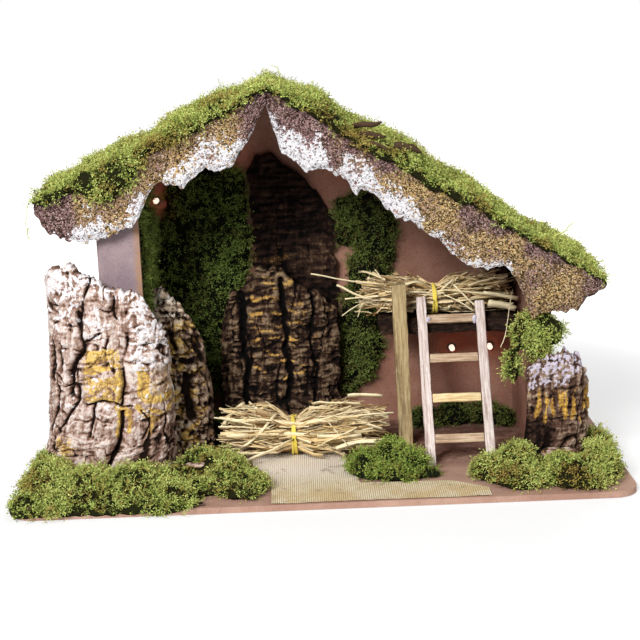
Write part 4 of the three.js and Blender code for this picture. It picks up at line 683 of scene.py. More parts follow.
def cork_skin(flat, seed, furrow=2.4, level=5.0, bend=5.0):
    """Layered cork: upright furrows, short level cracks and crumbs. Its relief in millimetres,
    and how light it is, from 0 in a crack to 1 on a ridge."""
    sway = np.stack([bend * drift(flat, 26, seed), 0.7 * bend * drift(flat, 12, seed + 1)], 1)
    bent = flat + sway + 0.8 * two_way(flat, 4, 4, seed + 11)
    furrows = drift(bent * (1, 0.26), furrow, seed + 2)
    ribs = 0.5 - np.abs(drift(bent * (1, 0.3), 3 * furrow, seed + 3))
    level_line = np.abs(drift(bent * (0.3, 1), level, seed + 4))
    level_part = smooth(drift(bent * (0.6, 1), 3 * level, seed + 5), 0.0, 0.35)
    level_crack = (1 - smooth(level_line, 0.0, 0.14)) * level_part
    upright_line = np.abs(drift(bent * (1, 0.24), 10, seed + 6))
    upright_part = smooth(drift(bent * (1, 0.5), 24, seed + 7), 0.0, 0.35)
    upright_crack = (1 - smooth(upright_line, 0.0, 0.09)) * upright_part
    flakes = drift(bent * (0.6, 1.2), 3.4, seed + 9)
    crumb = drift(flat, 1.5, seed + 8)
    layers = drift(bent * (0.2, 1), 1.9, seed + 13)
    relief = (0.8 * furrows + 1.0 * ribs + 0.7 * flakes + 0.45 * crumb + 0.5 * layers
              - 1.5 * level_crack - 2.2 * upright_crack)
    # shade is painted light: darker in furrows and cracks, lighter on ribs, flakes and layers;
    # partly the cork's own dark cracks, partly painted shade and highlight.
    shade = (0.56 + 0.25 * furrows + 0.16 * ribs + 0.2 * flakes + 0.18 * crumb + 0.2 * layers
             - 0.6 * level_crack - 0.75 * upright_crack)
    return relief, shade


def speckles(flat, size, fine, seed):
    return 0.6 * drift(flat, size, seed + 20) + 0.6 * drift(flat, fine, seed + 21)


def bark(name, node, finish, line, tops, thick, facet, look, taper, seed, crumbly,
         frayed=0.0):
    """A slab of bark that stands on a plan line; look gives its relief and its colours."""
    spaced = plan_line(line, np.linspace(0, 1, 400))
    length = np.sum(np.hypot(*np.diff(spaced, axis=0).T))
    columns = int(length / facet)
    rows = int(max(tops) / facet)
    u = np.linspace(0, 1, columns)
    place = plan_line(line, u)
    slope = unit(np.gradient(place, axis=0))
    out = np.stack([slope[:, 1], -slope[:, 0]], 1)
    arc = walked(place)
    top = np.interp(u, np.linspace(0, 1, len(tops)), tops)
    edge = np.stack([arc, 0 * arc], 1)
    top = top + 2.6 * drift(edge, 7, seed) + crumbly * drift(edge, 2.4, seed + 1)
    v = np.linspace(0, 1, rows)[:, None]
    z = STANDS_AT + v * (top - STANDS_AT)
    x = place[:, 0] + taper * (1 - (1 - v) ** 3) * (1 - u)
    for end, hand in ((0, 1), (1, -1)):
        beside = np.stack([z[:, 0], np.full(rows, 50.0 * end)], 1)
        bite = frayed * (0.5 + 0.6 * drift(beside, 9, seed + 60)
                         + 0.3 * drift(beside, 3, seed + 61))
        x = x + hand * np.clip(bite, 0, None)[:, None] * smooth(np.abs(u - end), 0.22, 0)
    y = np.repeat(place[:, 1][None], rows, 0)
    flat = np.stack([np.repeat(arc[None], rows, 0).ravel(), z.ravel()], 1)
    below = (top - z).ravel()
    height, paint = look(flat, x.ravel(), z.ravel(), below, seed)
    border = np.minimum(smooth(flat[:, 0], 0, 3), smooth(length - flat[:, 0], 0, 3))
    rounded = np.minimum(below, 3.0) / 3.0
    front = thick / 2 + height * (0.4 + 0.6 * border) - 1.6 * (1 - rounded) ** 2
    out_x = np.repeat(out[:, 0][None], rows, 0).ravel()
    out_y = np.repeat(out[:, 1][None], rows, 0).ravel()
    back = thick / 2 - 0.4 - 0.8 * np.abs(drift(flat, 7, seed + 30)) - 1.6 * (1 - rounded) ** 2
    fronts = np.stack([x.ravel() + out_x * front, y.ravel() + out_y * front, flat[:, 1]], 1)
    backs = np.stack([x.ravel() - out_x * back, y.ravel() - out_y * back, flat[:, 1]], 1)
    shadow = paint * np.array([0.75, 0.15, 0.5])
    return made_mesh(name, np.concatenate([fronts, backs]), [slab_faces(rows, columns)], finish,
                     (node,), np.concatenate([paint, shadow]))


# The left bark: its cracks as depth and path, its raised plates as middle, half size and rise
LEFT_CRACKS = [
    (4.5, [(-184, 178), (-184, 175), (-187, 165), (-191, 155), (-193, 145), (-193, 131),
           (-191, 125), (-193, 116)]),
    (6.5, [(-193, 116), (-199, 110), (-202, 102), (-204, 90), (-205, 80)]),
    (3.5, [(-191, 126), (-185, 128), (-177, 133)]),
    (3.5, [(-163, 164), (-165, 154), (-164, 147), (-158, 139), (-155, 132), (-157, 121),
           (-160, 109)]),
    (3.5, [(-160, 109), (-161, 91), (-163, 72)]),
    (3.5, [(-195, 74), (-186, 73), (-180, 75), (-169, 76), (-163, 71), (-151, 69)]),
    (3.5, [(-186, 73), (-188, 60), (-191, 48), (-195, 39), (-199, 29)]),
    (5.5, [(-164, 66), (-166, 50), (-170, 35), (-177, 22), (-181, 13)]),
    (3.5, [(-211, 123), (-211, 102), (-215, 88), (-214, 76), (-219, 64), (-223, 50), (-229, 32)]),
    (4.0, [(-199, 102), (-198, 87), (-199, 75), (-207, 64), (-216, 49), (-223, 36), (-225, 29)]),
    (3.0, [(-147, 100), (-145, 91), (-138, 86), (-130, 87)]),
    (3.0, [(-149, 66), (-144, 54), (-148, 44), (-152, 32)]),
]
LEFT_SPLITS = [
    [(-221, 156), (-207, 156), (-193, 154)], [(-220, 142), (-205, 140), (-194, 141)],
    [(-196, 107), (-182, 108), (-162, 109)], [(-192, 102), (-178, 99), (-161, 102)],
    [(-203, 59), (-187, 60), (-173, 57)], [(-210, 49), (-201, 46), (-192, 48)],
    [(-154, 120), (-140, 122), (-128, 119)], [(-155, 109), (-141, 107), (-125, 108)],
    [(-190, 154), (-179, 155), (-166, 152)], [(-157, 131), (-146, 133), (-134, 130)],
    [(-127, 108), (-127, 90), (-125, 75)], [(-228, 118), (-216, 116), (-206, 119)],
]
LEFT_PLATES = [
    (-178, 87.5, 15, 14.5, 2.2), (-205.5, 169.5, 12.5, 13.5, 1.2), (-207, 138.5, 12, 16.5, 1.4),
    (-178, 148, 11, 21, 1.6), (-140, 116, 14, 16, 1.6), (-178.5, 47, 7.5, 25, 1.4),
    (-157.5, 41.5, 4.5, 24.5, 1.2), (-202.5, 50, 10.5, 23, 1.2), (-141.5, 148, 9.5, 15, 1.2),
    (-222.5, 51, 4.5, 23, 1.0), (-213.5, 98, 7.5, 22, 1.2),
]
LEFT_GOLD = [
    (5.0, [(-147, 101), (-146, 91), (-147, 80), (-141, 74), (-133, 75)]),
    (4.5, [(-166, 70), (-160, 66)]), (2.6, [(-165, 68), (-167, 57), (-169, 47)]),
    (2.6, [(-160, 68), (-158, 58), (-159, 50)]), (3.0, [(-152, 71), (-146, 62), (-139, 58)]),
    (2.2, [(-142, 66), (-134, 62), (-129, 66)]), (2.6, [(-143, 57), (-144, 46)]),
    (2.8, [(-190, 101), (-178, 104), (-166, 107)]), (2.6, [(-188, 95), (-176, 93), (-164, 97)]),
    (2.4, [(-192, 118), (-180, 116), (-168, 118)]), (3.0, [(-164, 100), (-163, 88), (-165, 78)]),
]


def left_look(flat, x, z, below, seed):
    detail, shade = cork_skin(flat + np.stack([0.35 * np.clip(90 - z, 0, 90), 0 * z], 1), seed,
                              2.6, 6.0, 7.0)
    sway = 1.4 * drift(flat, 7, seed + 40)
    cut = np.zeros(len(x))
    dark = np.zeros(len(x))
    for number, (depth, path) in enumerate(LEFT_CRACKS):
        gap = gap_to(x + sway, z + sway, path)
        part = smooth(drift(flat, 15, seed + 50 + number) + 0.28 * (depth - 3), -0.45, 0.25)
        cut = np.maximum(cut, depth * part * (0.55 * np.clip(1 - gap / 5.5, 0, 1)
                                              + 0.75 * (1 - smooth(gap, 0.2, 0.45 * depth))))
        dark = np.maximum(dark, part * (1 - smooth(gap, 0.1 * depth, 0.42 * depth)))
    for number, path in enumerate(LEFT_SPLITS):
        gap = gap_to(x + sway, z + 1.5 * sway, path)
        part = smooth(drift(flat, 11, seed + 70 + number), -0.5, 0.2)
        cut = np.maximum(cut, 1.7 * part * (1 - smooth(gap, 0.2, 1.5)))
        dark = np.maximum(dark, 0.6 * part * (1 - smooth(gap, 0.2, 1.3)))
    rise = np.zeros(len(x))
    for middle, up, half_x, half_z, height in LEFT_PLATES:
        away = np.maximum(np.abs(x + sway - middle) / half_x, np.abs(z + sway - up) / half_z)
        rise = np.maximum(rise, height * (1 - smooth(away, 0.85, 1.12)))
    relief = rise - 2.2 - cut + 0.8 * detail
    spots = speckles(flat, 6, 2.0, seed)
    block = (1 - smooth(np.abs(x + 178 + sway), 14, 17)) * (1 - smooth(np.abs(z - 97), 20, 25))
    recess = (1 - smooth(np.abs(x + 180), 11, 15)) * (1 - smooth(np.abs(z - 99 - sway), 2.5, 5))
    tawny = 0.4 * (1 - smooth(np.abs(x + 139), 9, 16)) * (1 - smooth(np.abs(z - 86), 12, 20))
    amber = 0.55 * (1 - smooth(np.hypot(x + 212, z - 35), 6, 14))
    band = 0.5 + 0.5 * np.sin((z + 2.0 * sway) * 0.75)
    yellow = np.maximum.reduce([
        block * (1 - 0.9 * recess) * (0.46 + 0.26 * band + 0.6 * spots),
        tawny + 0.5 * spots * tawny, amber * (0.75 + 1.1 * spots),
    ])
    for width, path in LEFT_GOLD:
        yellow = np.maximum(yellow, 1.35 * (1 - smooth(gap_to(x + sway, z - sway, path),
                                                       0.35 * width, width)))
    rim = smooth(below + 6 * spots, 15, 4)
    face = smooth(z + 26 * spots, 138, 158) * smooth(x + 12 * spots, -184, -194)
    ridges = 0.5 + 0.5 * np.sin((z + 0.35 * x + 3.0 * sway) * 1.15)
    flank = smooth(x, -160, -150) * smooth(z + 10 * spots, 96, 108) * (0.45 + 0.55 * ridges)
    plate = (1 - smooth(np.abs(x + 183), 6, 9)) * (1 - smooth(np.abs(z - 141), 11, 17))
    flakes = 0.42 * smooth(spots, 0.2, 0.5) * smooth(z, 20, 60)
    white = np.maximum.reduce([rim, 0.85 * face, flank, 0.6 * plate, flakes])
    white = white * (0.8 + 0.7 * spots + 0.5 * drift(flat, 1.8, seed + 44))
    white = white * smooth(shade, 0.3, 0.55)
    brown = smooth(z, 72, 52) * smooth(x, -166, -154)
    strip = smooth(x, -206, -214) * smooth(z, 150, 120)
    # The cracks are darkened, partly the cork's own dark and partly painted shade.
    shade = (shade + 0.05 - 0.22 * brown - 0.08 * strip) * (1 - dark) - 0.25 * dark
    return relief, np.clip(np.stack([shade, yellow, white], 1), 0, 1)


bark(
    "bark_left", "left_bark", cork,
    [(-233, 19), (-237, -9), (-226, -34), (-200, -48), (-172, -52.5), (-148, -50), (-134, -39),
     (-129, -22)],
    [150, 164, 177, 182, 186, 187, 180, 172, 167, 165, 146, 137, 114, 80], 13, 0.9, left_look, 17,
    40, 3.4,
)


# The inner bark, a narrow porous piece in the left corner of the hut. Its holes as width and path
INNER_HOLES = [
    (3.0, [(-119, 92), (-112, 91)]), (5.0, [(-117, 78), (-116, 60), (-114, 42)]),
    (3.0, [(-127, 118), (-124, 104)]), (2.5, [(-133, 66), (-130, 50)]),
    (2.5, [(-108, 104), (-105, 92)]),
]


def inner_look(flat, x, z, below, seed):
    detail, shade = cork_skin(flat, seed, 2.2, 4.0, 4.0)
    warp = 2.2 * two_way(flat, 8, 8, seed + 2)
    joint, number = plates((flat + warp) / (9, 10), seed + 4)
    open_joint = 0.7 * (1 - smooth(joint, 0.02, 0.2))
    pores = smooth(drift(flat * (1, 0.8), 3.2, seed + 6), 0.22, 0.42)
    sway = 1.8 * drift(flat, 6, seed + 7)
    for width, path in INNER_HOLES:
        gap = gap_to(x + sway, z - sway, path)
        open_joint = np.maximum(open_joint, 1 - smooth(gap, 0.5 * width, width))
    relief = 0.9 * detail - 4.0 * open_joint - 2.0 * pores + 1.8 * number - 1.6
    spots = speckles(flat, 6, 1.8, seed)
    yellow = np.clip(0.3 + 0.9 * spots - 0.3 * smooth(z, 120, 138), 0, 1)
    white = np.clip(smooth(z + 12 * spots, 122, 140) * (0.25 + 0.6 * spots), 0, 1)
    dull = 1 - 0.4 * smooth(x, -118, -100)
    # Holes and pores are darkened, partly the open cork and partly painted shade; dull makes the
    # right end darker.
    shade = (shade + 0.14) * (1 - np.maximum(0.97 * open_joint, 0.85 * pores)) * dull
    return relief, np.clip(np.stack([shade, yellow * dull, white * dull], 1), 0, 1)


bark("bark_inner", "inner_bark", porous_cork,
     [(-140, 9), (-125, 8), (-109, 13), (-97, 21)], [154, 157, 150, 140, 126, 108, 66], 13, 0.9,
     inner_look, 0, 70, 3.0)


# The centre bark, a broad blocky piece in front of the back wall, with a deep split either side
CENTRE_SPLITS = [
    (6.0, [(-66, 140), (-65, 118), (-67, 96), (-63, 74), (-66, 50), (-64, 22)]),
    (5.0, [(-30, 152), (-31, 128), (-28, 104), (-29, 84), (-26, 60), (-29, 40)]),
    (3.0, [(-6, 150), (-4, 120), (-8, 96), (-3, 66), (-5, 30)]),
]
CENTRE_GOLD = [
    (3.4, [(-56, 134), (-44, 135), (-32, 132)]), (3.0, [(-58, 119), (-44, 121), (-33, 117)]),
    (3.4, [(-55, 108), (-42, 106), (-31, 109)]), (2.6, [(-56, 96), (-44, 98), (-32, 95)]),
    (2.6, [(-50, 86), (-34, 84)]), (2.8, [(-25, 130), (-14, 128)]), (3.4, [(-26, 121), (-12, 118)]),
    (2.4, [(-27, 111), (-14, 113)]), (2.2, [(-26, 97), (-8, 94)]), (2.6, [(-33, 77), (-14, 72)]),
    (2.4, [(-30, 62), (-12, 66)]), (2.0, [(-60, 70), (-46, 68)]),
]


def centre_look(flat, x, z, below, seed):
    detail, shade = cork_skin(flat, seed, 2.6, 4.2, 4.0)
    sway = 1.8 * drift(flat, 8, seed + 40)
    warp = 2.6 * two_way(flat, 11, 9, seed + 2)
    joint, number = plates((flat + warp) / (26, 8), seed + 4)
    open_joint = 0.75 * (1 - smooth(joint, 0.02, 0.2)) * smooth(drift(flat, 9, seed + 8), -0.4, 0.2)
    cut = np.zeros(len(x))
    dark = np.zeros(len(x))
    for depth, path in CENTRE_SPLITS:
        gap = gap_to(x + sway, z + sway, path)
        cut = np.maximum(cut, depth * (1 - smooth(gap, 0.5, 0.7 * depth)))
        dark = np.maximum(dark, 1 - smooth(gap, 0.25 * depth, 0.6 * depth))
    knob = 1 - smooth(np.hypot((x + 32) / 1.5, z - 152), 8, 12)
    ledges = drift(flat * (0.25, 1.0), 2.4, seed + 31)
    relief = 0.8 * detail - 2.4 * open_joint + 2.2 * number - 1.5 - cut + 1.5 * knob + 0.8 * ledges
    spots = speckles(flat, 7, 1.8, seed)
    yellow = 0.38 * knob + 0.12 + 0.4 * spots
    for width, path in CENTRE_GOLD:
        gap = gap_to(x + sway, z + 1.6 * sway, path)
        yellow = np.maximum(
            yellow, (1 - smooth(gap, 0.2 * width, 0.9 * width)) * (0.8 + 1.1 * spots))
    yellow = yellow * (0.35 + 0.65 * smooth(ledges, -0.25, 0.2))
    # Painted highlight on the raised ledges and knob; the joints and splits are darkened, partly
    # the cork's own dark and partly painted shade.
    shade = (shade - 0.04 + 0.2 * ledges + 0.2 * knob + 0.25 * yellow) * (1 - 0.85 * open_joint)
    shade = shade * (1 - dark) - 0.2 * dark
    return relief, np.clip(np.stack([shade, yellow, 0 * z], 1), 0, 1)


bark("bark_centre", "centre_bark", shaded_cork,
     [(-88, 73.2), (-66, 68.2), (-36, 63.2), (-6, 65.2), (18, 73.2)],
     [112, 138, 141, 162, 163, 150, 138, 132, 122], 15, 1.0, centre_look, 0, 90, 2.4, 4.0)


# The tall bark, layered, flat against the back wall; dark, partly its own colour and partly the
# painted shade of shaded_cork
def tall_look(flat, x, z, below, seed):
    detail, shade = cork_skin(flat, seed, 3.4, 3.2, 5.0)
    laminae = drift(flat * (0.2, 1.0), 2.4, seed + 30)
    spots = drift(flat, 8, seed + 20)
    bright = smooth(np.hypot((x - 2) / 1.2, z - 166), 26, 8)
    yellow = np.clip(0.7 * spots, 0, 0.4) * smooth(z, 225, 180) * smooth(x, -10, -30)
    # Painted highlight on the raised laminae; bright is a round lighter patch.
    shade = 0.42 * shade + 0.2 * laminae + 0.22 * bright
    return 0.9 * detail + 0.9 * laminae - 1.2, np.clip(np.stack([shade, yellow, 0 * z], 1), 0, 1)


bark("bark_tall", "tall_bark", shaded_cork,
     [(-59, 88.2), (-22, 87.2), (22, 88.2)], [246, 259, 263, 250, 236, 222, 200], 9, 1.2,
     tall_look, 0, 120, 2.0, 6.0)


# The right bark, at the corner of the hut: lilac white above, with ochre tips in a row
def right_look(flat, x, z, below, seed):
    detail, shade = cork_skin(flat, seed, 2.4, 8.0, 3.0)
    spots = speckles(flat, 5, 1.8, seed)
    fingers = drift(flat * (1, 0.26) + 0.5 * spots[:, None], 3.0, seed + 22)
    yellow = smooth(z + 9 * fingers, 44, 54) * smooth(z + 16 * fingers, 80, 66)
    yellow = yellow * smooth(fingers, -0.05, 0.25) * 1.2
    grit = drift(flat, 1.7, seed + 24)
    white = smooth(z + 12 * spots - 0.3 * (x - 180), 66, 82) * (0.52 + 0.9 * grit + 0.5 * spots)
    dull = 0.78 - 0.5 * smooth(z + 8 * spots, 58, 40) * smooth(x, 206, 184)
    relief = detail + 1.4 * fingers - 1.5
    # Painted highlight on the raised ochre fingers; dull makes the lower left darker.
    return relief, np.clip(np.stack([(shade + 0.25 * fingers) * dull, yellow, white], 1), 0, 1)


bark("bark_right", "right_bark", brown_cork,
     [(164, -48.5), (185, -52), (203, -51.5), (215, -43), (221, -28), (223, -9)],
     [88, 100, 104, 99, 78, 64, 48], 9, 0.8, right_look, 8, 150, 3.0)


def chip(name, node, seed):
    points, quads, normals = even_copy(node, 1.0)
    lift = 1.0 * drift(points, 5, seed) + 0.5 * drift(points, 2, seed + 1)
    flat = points[:, [0, 2]]
    spots = 0.5 + 0.8 * drift(points, 4, seed + 2)
    cover = 0.52 + 0.5 * drift(points * (1, 1, 2.5), 4, seed + 3)
    paint = np.clip(np.stack([cover, 0.55 * spots, 0.3 * spots], 1), 0, 1)
    made_mesh(name, points + normals * lift[:, None], [quads], cork,
              (node,), paint)


chip("chip_left", "bark_chip_left", 5)
chip("chip_right", "bark_chip_right", 8)

# Lamps
# Clear miniature bulbs, pushed from the front into green sockets that sit in the back wall.
# They burn warm white and redden the wall around them.
glass = Finish("lit_glass", 0.15, 0.5)
glass.shader.inputs["Base Color"].default_value = tone("#fff3dc")
glass.shader.inputs["Emission Color"].default_value = tone("#ffdccb")
glass.shader.inputs["Emission Strength"].default_value = 1.2
socket_plastic = Finish("socket_plastic", 0.45, 0.4)
socket_plastic.cloudy(0.004, "#1f3a28", "#2d5038")
for number in range(1, 6):
    dress(f"bulb_{number}", glass)
    dress(f"lamp_socket_{number}", socket_plastic)
    low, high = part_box(f"bulb_{number}")
    data = bpy.data.lights.new(f"bulb_light_{number}", "POINT")
    data.energy = 0.001 if number in (3, 4) else 0.0019
    data.color = (1.0, 0.18, 0.05)
    data.shadow_soft_size = 0.003
    light = bpy.data.objects.new(f"bulb_light_{number}", data)
    light.visible_camera = False
    light.location = ((low.x + high.x) / 2, low.y - 0.005, (low.z + high.z) / 2)
    bpy.context.scene.collection.objects.link(light)

# Battery box and lamp wire
# A moulded black box for two cells is screwed to the back of the hut. Its cover slides out to the
# left. The lamp wire runs from it over the sockets.
moulded = Finish("moulded_plastic", 0.5, 0.4)
moulded_grain = moulded.mottle(0.0007, 2, 0.5)
moulded.cloudy(0.02, "#232325", "#2d2d30")
moulded.rough(moulded.between(moulded_grain, 0.3, 0.7, 0.42, 0.6))
moulded.relief(moulded_grain, 0.00015)
for node in ("battery_case", "battery_cover", "switch_knob", "lamp_wire"):
    dress(node, moulded)
sleeve = Finish("cell_sleeve", 0.35, 0.5)
sleeve.cloudy(0.01, "#5f666b", "#777e84")
plated = Finish("nickel_plate", 0.3, 0.5)
plated.shader.inputs["Metallic"].default_value = 1.0
plated.cloudy(0.003, "#a9a9a4", "#cfcfca")
dress("cell_1", sleeve)
dress("cell_2", sleeve)
for node in ("switch_body", "contact_bridge", "contact_spring", "contact_plate"):
    dress(node, plated)

# Woven path
# A piece of coarse ribbed cotton, cut to the shape of the path and laid on the base. Moss heaps
# cover its edges. It is sandy, and a little soiled in patches.
cloth = Finish("ribbed_cloth", 0.95, 0.1)
ribs = cloth.node("TexWave", {
    "Scale": 185, "Distortion": 0.6, "Detail": 2, "Detail Scale": 3, "Vector": cloth.space,
})
threads = cloth.mottle(0.0012, 3, 0.6, cloth.stretched(1, 0.4, 1))
soil = cloth.mottle(0.03, 3, 0.6)
sand = cloth.over((ribs.outputs["Fac"], 0.2, 0.8), "#c9b184", "#f7ecd2")
sand = cloth.over((threads, 0.45, 0.7, 0, 0.5), sand, "#f6ecd6")
along_path = cloth.place()
faded = cloth.between(along_path[1], -0.085, -0.04, 0, 0.6)
sand = cloth.over(faded, sand, "#f4ebe2")
ochre_spill = cloth.between(along_path[1], -0.07, -0.11, 0, 0.5)
ochre_spill = cloth.times(ochre_spill, cloth.between(soil, 0.35, 0.6))
sand = cloth.over(ochre_spill, sand, "#c9a55e")
sand = cloth.over((cloth.mottle(0.014, 4, 0.65), 0.56, 0.72, 0, 0.55), sand, "#8f7353")
cloth.colour(sand)
cloth_bump = cloth.relief(ribs.outputs["Fac"], 0.0004)
cloth.relief(threads, 0.0003, cloth_bump)

PATH_FRONT = -123.5
PATH_BACK = 25
PATH_LEFT = [(PATH_FRONT, -42), (-59, -44), (-25, -60), (PATH_BACK, -62)]
PATH_RIGHT = [(PATH_FRONT, 132), (-105, 132), (-84, 104), (-82, 30), (-35, 22), (PATH_BACK, 18)]
path_rows, path_columns = 140, 150
path_y = np.linspace(PATH_FRONT, PATH_BACK, path_rows)
path_low = np.interp(path_y, *zip(*PATH_LEFT))
path_high = np.interp(path_y, *zip(*PATH_RIGHT))
path_u = np.linspace(0, 1, path_columns)
path_x = path_low[:, None] + path_u * (path_high - path_low)[:, None]
path_flat = np.stack([path_x.ravel(), np.repeat(path_y, path_columns)], 1)
fray = 0.5 * drift(path_flat, 3, 5) * np.repeat(smooth(path_y, -117, -123), path_columns)
path_z = 5.9 + 0.35 * drift(path_flat, 18, 3) + 0.1 * drift(path_flat, 5, 4)
path_points = np.stack([path_flat[:, 0], path_flat[:, 1] + fray, path_z], 1)
path_faces = skin(np.arange(path_rows * path_columns).reshape(path_rows, path_columns))
path = made_mesh("woven_path", path_points, [path_faces], cloth,
                 ("ground_mat",))


# Straw bundles
# Two handfuls of dry straw, one on the floor and one on the loft. Round and flattened stalks lie
# roughly side by side, fan out at both ends, and are tied in the middle with yellow raffia.
def dry_stalks(name, pale, mid, dark):
    stalk = Finish(name, 0.7, 0.35)
    own = stalk.painted()
    fibre = stalk.mottle(0.0009, 3, 0.6, stalk.stretched(0.12, 1, 1))
    colour = stalk.over(own[0], mid, pale)
    colour = stalk.over((own[1], 0.55, 0.95, 0, 0.9), colour, dark)
    colour = stalk.over((fibre, 0.5, 0.75, 0, 0.5), colour, dark)
    stalk.colour(colour)
    stalk.relief(fibre, 0.0003)
    return stalk


straw_finish = dry_stalks("dry_straw", "#fbecc4", "#d8b87c", "#7d562c")
raffia_finish = dry_stalks("raffia", "#f3df6a", "#d9bb38", "#8f7420")


def tubes(paths, across, flatness, rolls, sides=5):
    """Tubes along paths (tube, point, xyz): widths, how flat each is and how it is rolled."""
    count, steps, _ = paths.shape
    heading = np.gradient(paths, axis=1)
    heading /= np.linalg.norm(heading, axis=2)[:, :, None] + 1e-9
    up = np.broadcast_to(np.array([0.0, 0.0, 1.0]), heading.shape)
    side = np.cross(heading, up)
    side /= np.linalg.norm(side, axis=2)[:, :, None] + 1e-9
    up = np.cross(side, heading)
    rolls = rolls[:, None, None]
    wide = side * np.cos(rolls) + up * np.sin(rolls)
    tall = up * np.cos(rolls) - side * np.sin(rolls)
    angles = np.arange(sides) * 2 * np.pi / sides
    ring = (
        wide[:, :, None] * (np.cos(angles)[:, None] * across[:, :, None, None] / 2)
        + tall[:, :, None] * (np.sin(angles)[:, None] * (across * flatness)[:, :, None, None] / 2)
    )
    points = (paths[:, :, None] + ring).reshape(-1, 3)
    index = np.arange(count * steps * sides).reshape(count, steps, sides)
    turned = np.roll(index, -1, axis=2)
    walls = np.stack([index[:, :-1], turned[:, :-1], turned[:, 1:], index[:, 1:]], 3).reshape(-1, 4)
    caps = []
    for end, flip in ((0, True), (steps - 1, False)):
        ring_index = index[:, end]
        fans = [np.stack([ring_index[:, 0], ring_index[:, i], ring_index[:, i + 1]], 1)
                for i in range(1, sides - 1)]
        caps += [f[:, ::-1] if flip else f for f in fans]
    return points, walls, np.concatenate(caps)


STALK_STEPS = 7


def bent_stalks(ends, bow, rng):
    """Stalks from end to end, (stalk, 2, xyz), each with its own bow and a little unevenness."""
    share = np.linspace(0, 1, STALK_STEPS)[None, :, None]
    paths = ends[:, :1] + (ends[:, 1:] - ends[:, :1]) * share
    paths = paths + bow[:, None] * 4 * share * (1 - share)
    return paths + rng.normal(0, 0.22, paths.shape) * np.array([0.3, 1, 1])


def draw_in(paths, tie, waist, opening, hold):
    """Draws stalks in: to waist round the tie, and opening out beyond hold on either side."""
    allowed = waist + opening * np.maximum(np.abs(paths[:, :, 0] - tie[0]) - hold, 0)
    off = paths[:, :, 1:] - np.array(tie[1:])
    held = np.minimum(1, allowed / (np.linalg.norm(off, axis=2) + 1e-9))
    paths[:, :, 1:] = np.array(tie[1:]) + off * held[..., None]


def straw_bundle(name, node, tie, waist, low, high, tied, loose, single, seed):
    """A bundle inside a space: tied stalks, loose ones laid every way round them, single ones."""
    rng = np.random.default_rng(seed)
    low, high = np.array(low, float), np.array(high, float)
    angle = rng.uniform(0, 2 * np.pi, tied)
    out = np.sqrt(rng.uniform(0, 1, tied))[:, None]
    across = np.stack([np.cos(angle), np.sin(angle)], 1)
    middle = np.array(tie[1:]) + 0.9 * waist * out * across
    fan_room = (high - low)[1:] / 2 * 0.85
    tied_paths = np.zeros((tied, STALK_STEPS, 3))
    for side, end in ((-1, low[0]), (1, high[0])):
        reach = tie[0] + (end - tie[0]) * (0.42 + 0.58 * rng.uniform(0, 1, tied) ** 1.6)
        fan = (low + high)[1:] / 2 + fan_room * np.clip(
            0.7 * out * across + rng.normal(0, 0.33, (tied, 2)), -1, 1)
        for step in range(STALK_STEPS // 2 + 1):
            share = step / (STALK_STEPS // 2)
            column = STALK_STEPS // 2 + side * step
            tied_paths[:, column, 0] = tie[0] + (reach - tie[0]) * share
            tied_paths[:, column, 1:] = middle + (fan - middle) * (share ** 1.2)
    tied_paths[:, :, 1:] += rng.normal(0, 0.35, (tied, STALK_STEPS, 2))
    long = rng.uniform(18, 58, loose)
    askew = rng.uniform(0, 1, loose) < 0.24
    yaw = np.where(askew, rng.uniform(-1.3, 1.3, loose), rng.normal(0, 0.26, loose))
    pitch = np.where(askew, rng.uniform(-0.7, 0.7, loose), rng.normal(0, 0.13, loose))
    half = np.stack([np.cos(yaw) * np.cos(pitch), np.sin(yaw) * np.cos(pitch), np.sin(pitch)], 1)
    half = half * long[:, None] / 2
    half = np.clip(half, -(high - low) / 2, (high - low) / 2)
    room = (high - low) / 2 - np.abs(half)
    turn = rng.uniform(0, 2 * np.pi, loose)
    far = np.sqrt(rng.uniform(0, 1, loose))
    spread = np.stack([rng.uniform(-1, 1, loose), far * np.cos(turn), far * np.sin(turn)], 1)
    spot = (low + high) / 2 + room * spread
    bow = rng.normal(0, 0.05, (loose, 3)) * long[:, None] * np.array([0, 1, 1])
    loose_paths = bent_stalks(np.stack([spot - half, spot + half], 1), bow, rng)
    around = np.concatenate([tied_paths, loose_paths])
    draw_in(around, tie, 0.92 * waist, 0.75, 2)
    single_ends = np.array([[stalk[0], stalk[1]] for stalk in single], float)
    bow = rng.normal(0, 0.9, (len(single), 3)) * np.array([0, 1, 1])
    single_paths = bent_stalks(single_ends, bow, rng)
    draw_in(single_paths, tie, 0.9 * waist, 1.3, 4)
    paths = np.concatenate([around, single_paths])
    many = tied + loose
    thick = rng.choice([0.9, 1.5, 2.5, 4.2], many, p=[0.3, 0.3, 0.24, 0.16])
    thick = np.concatenate([thick, [stalk[2] for stalk in single]])
    count = len(paths)
    flatness = np.where(thick > 1.9, 0.2, 0.8)[:, None]
    widths = thick[:, None] * rng.uniform(0.8, 1.1, (count, STALK_STEPS))
    paths[:, :, 2] = np.maximum(paths[:, :, 2], low[2] + widths * 0.5)
    paths[many:, :, 2] = single_paths[:, :, 2]
    rolls = rng.uniform(-1.3, 1.3, count)
    rolls[many:] = rng.uniform(0.9, 1.3, len(single))
    points, walls, caps = tubes(paths, widths, flatness, rolls)
    kind = rng.uniform(0, 1, (count, 2))
    kind[many:] = (0.9, 0.1)
    kind = np.repeat(kind, STALK_STEPS * 5, axis=0)
    paint = np.concatenate([kind, np.zeros((len(kind), 1))], 1)
    return made_mesh(name, points, [walls, caps], straw_finish, (node,), paint)


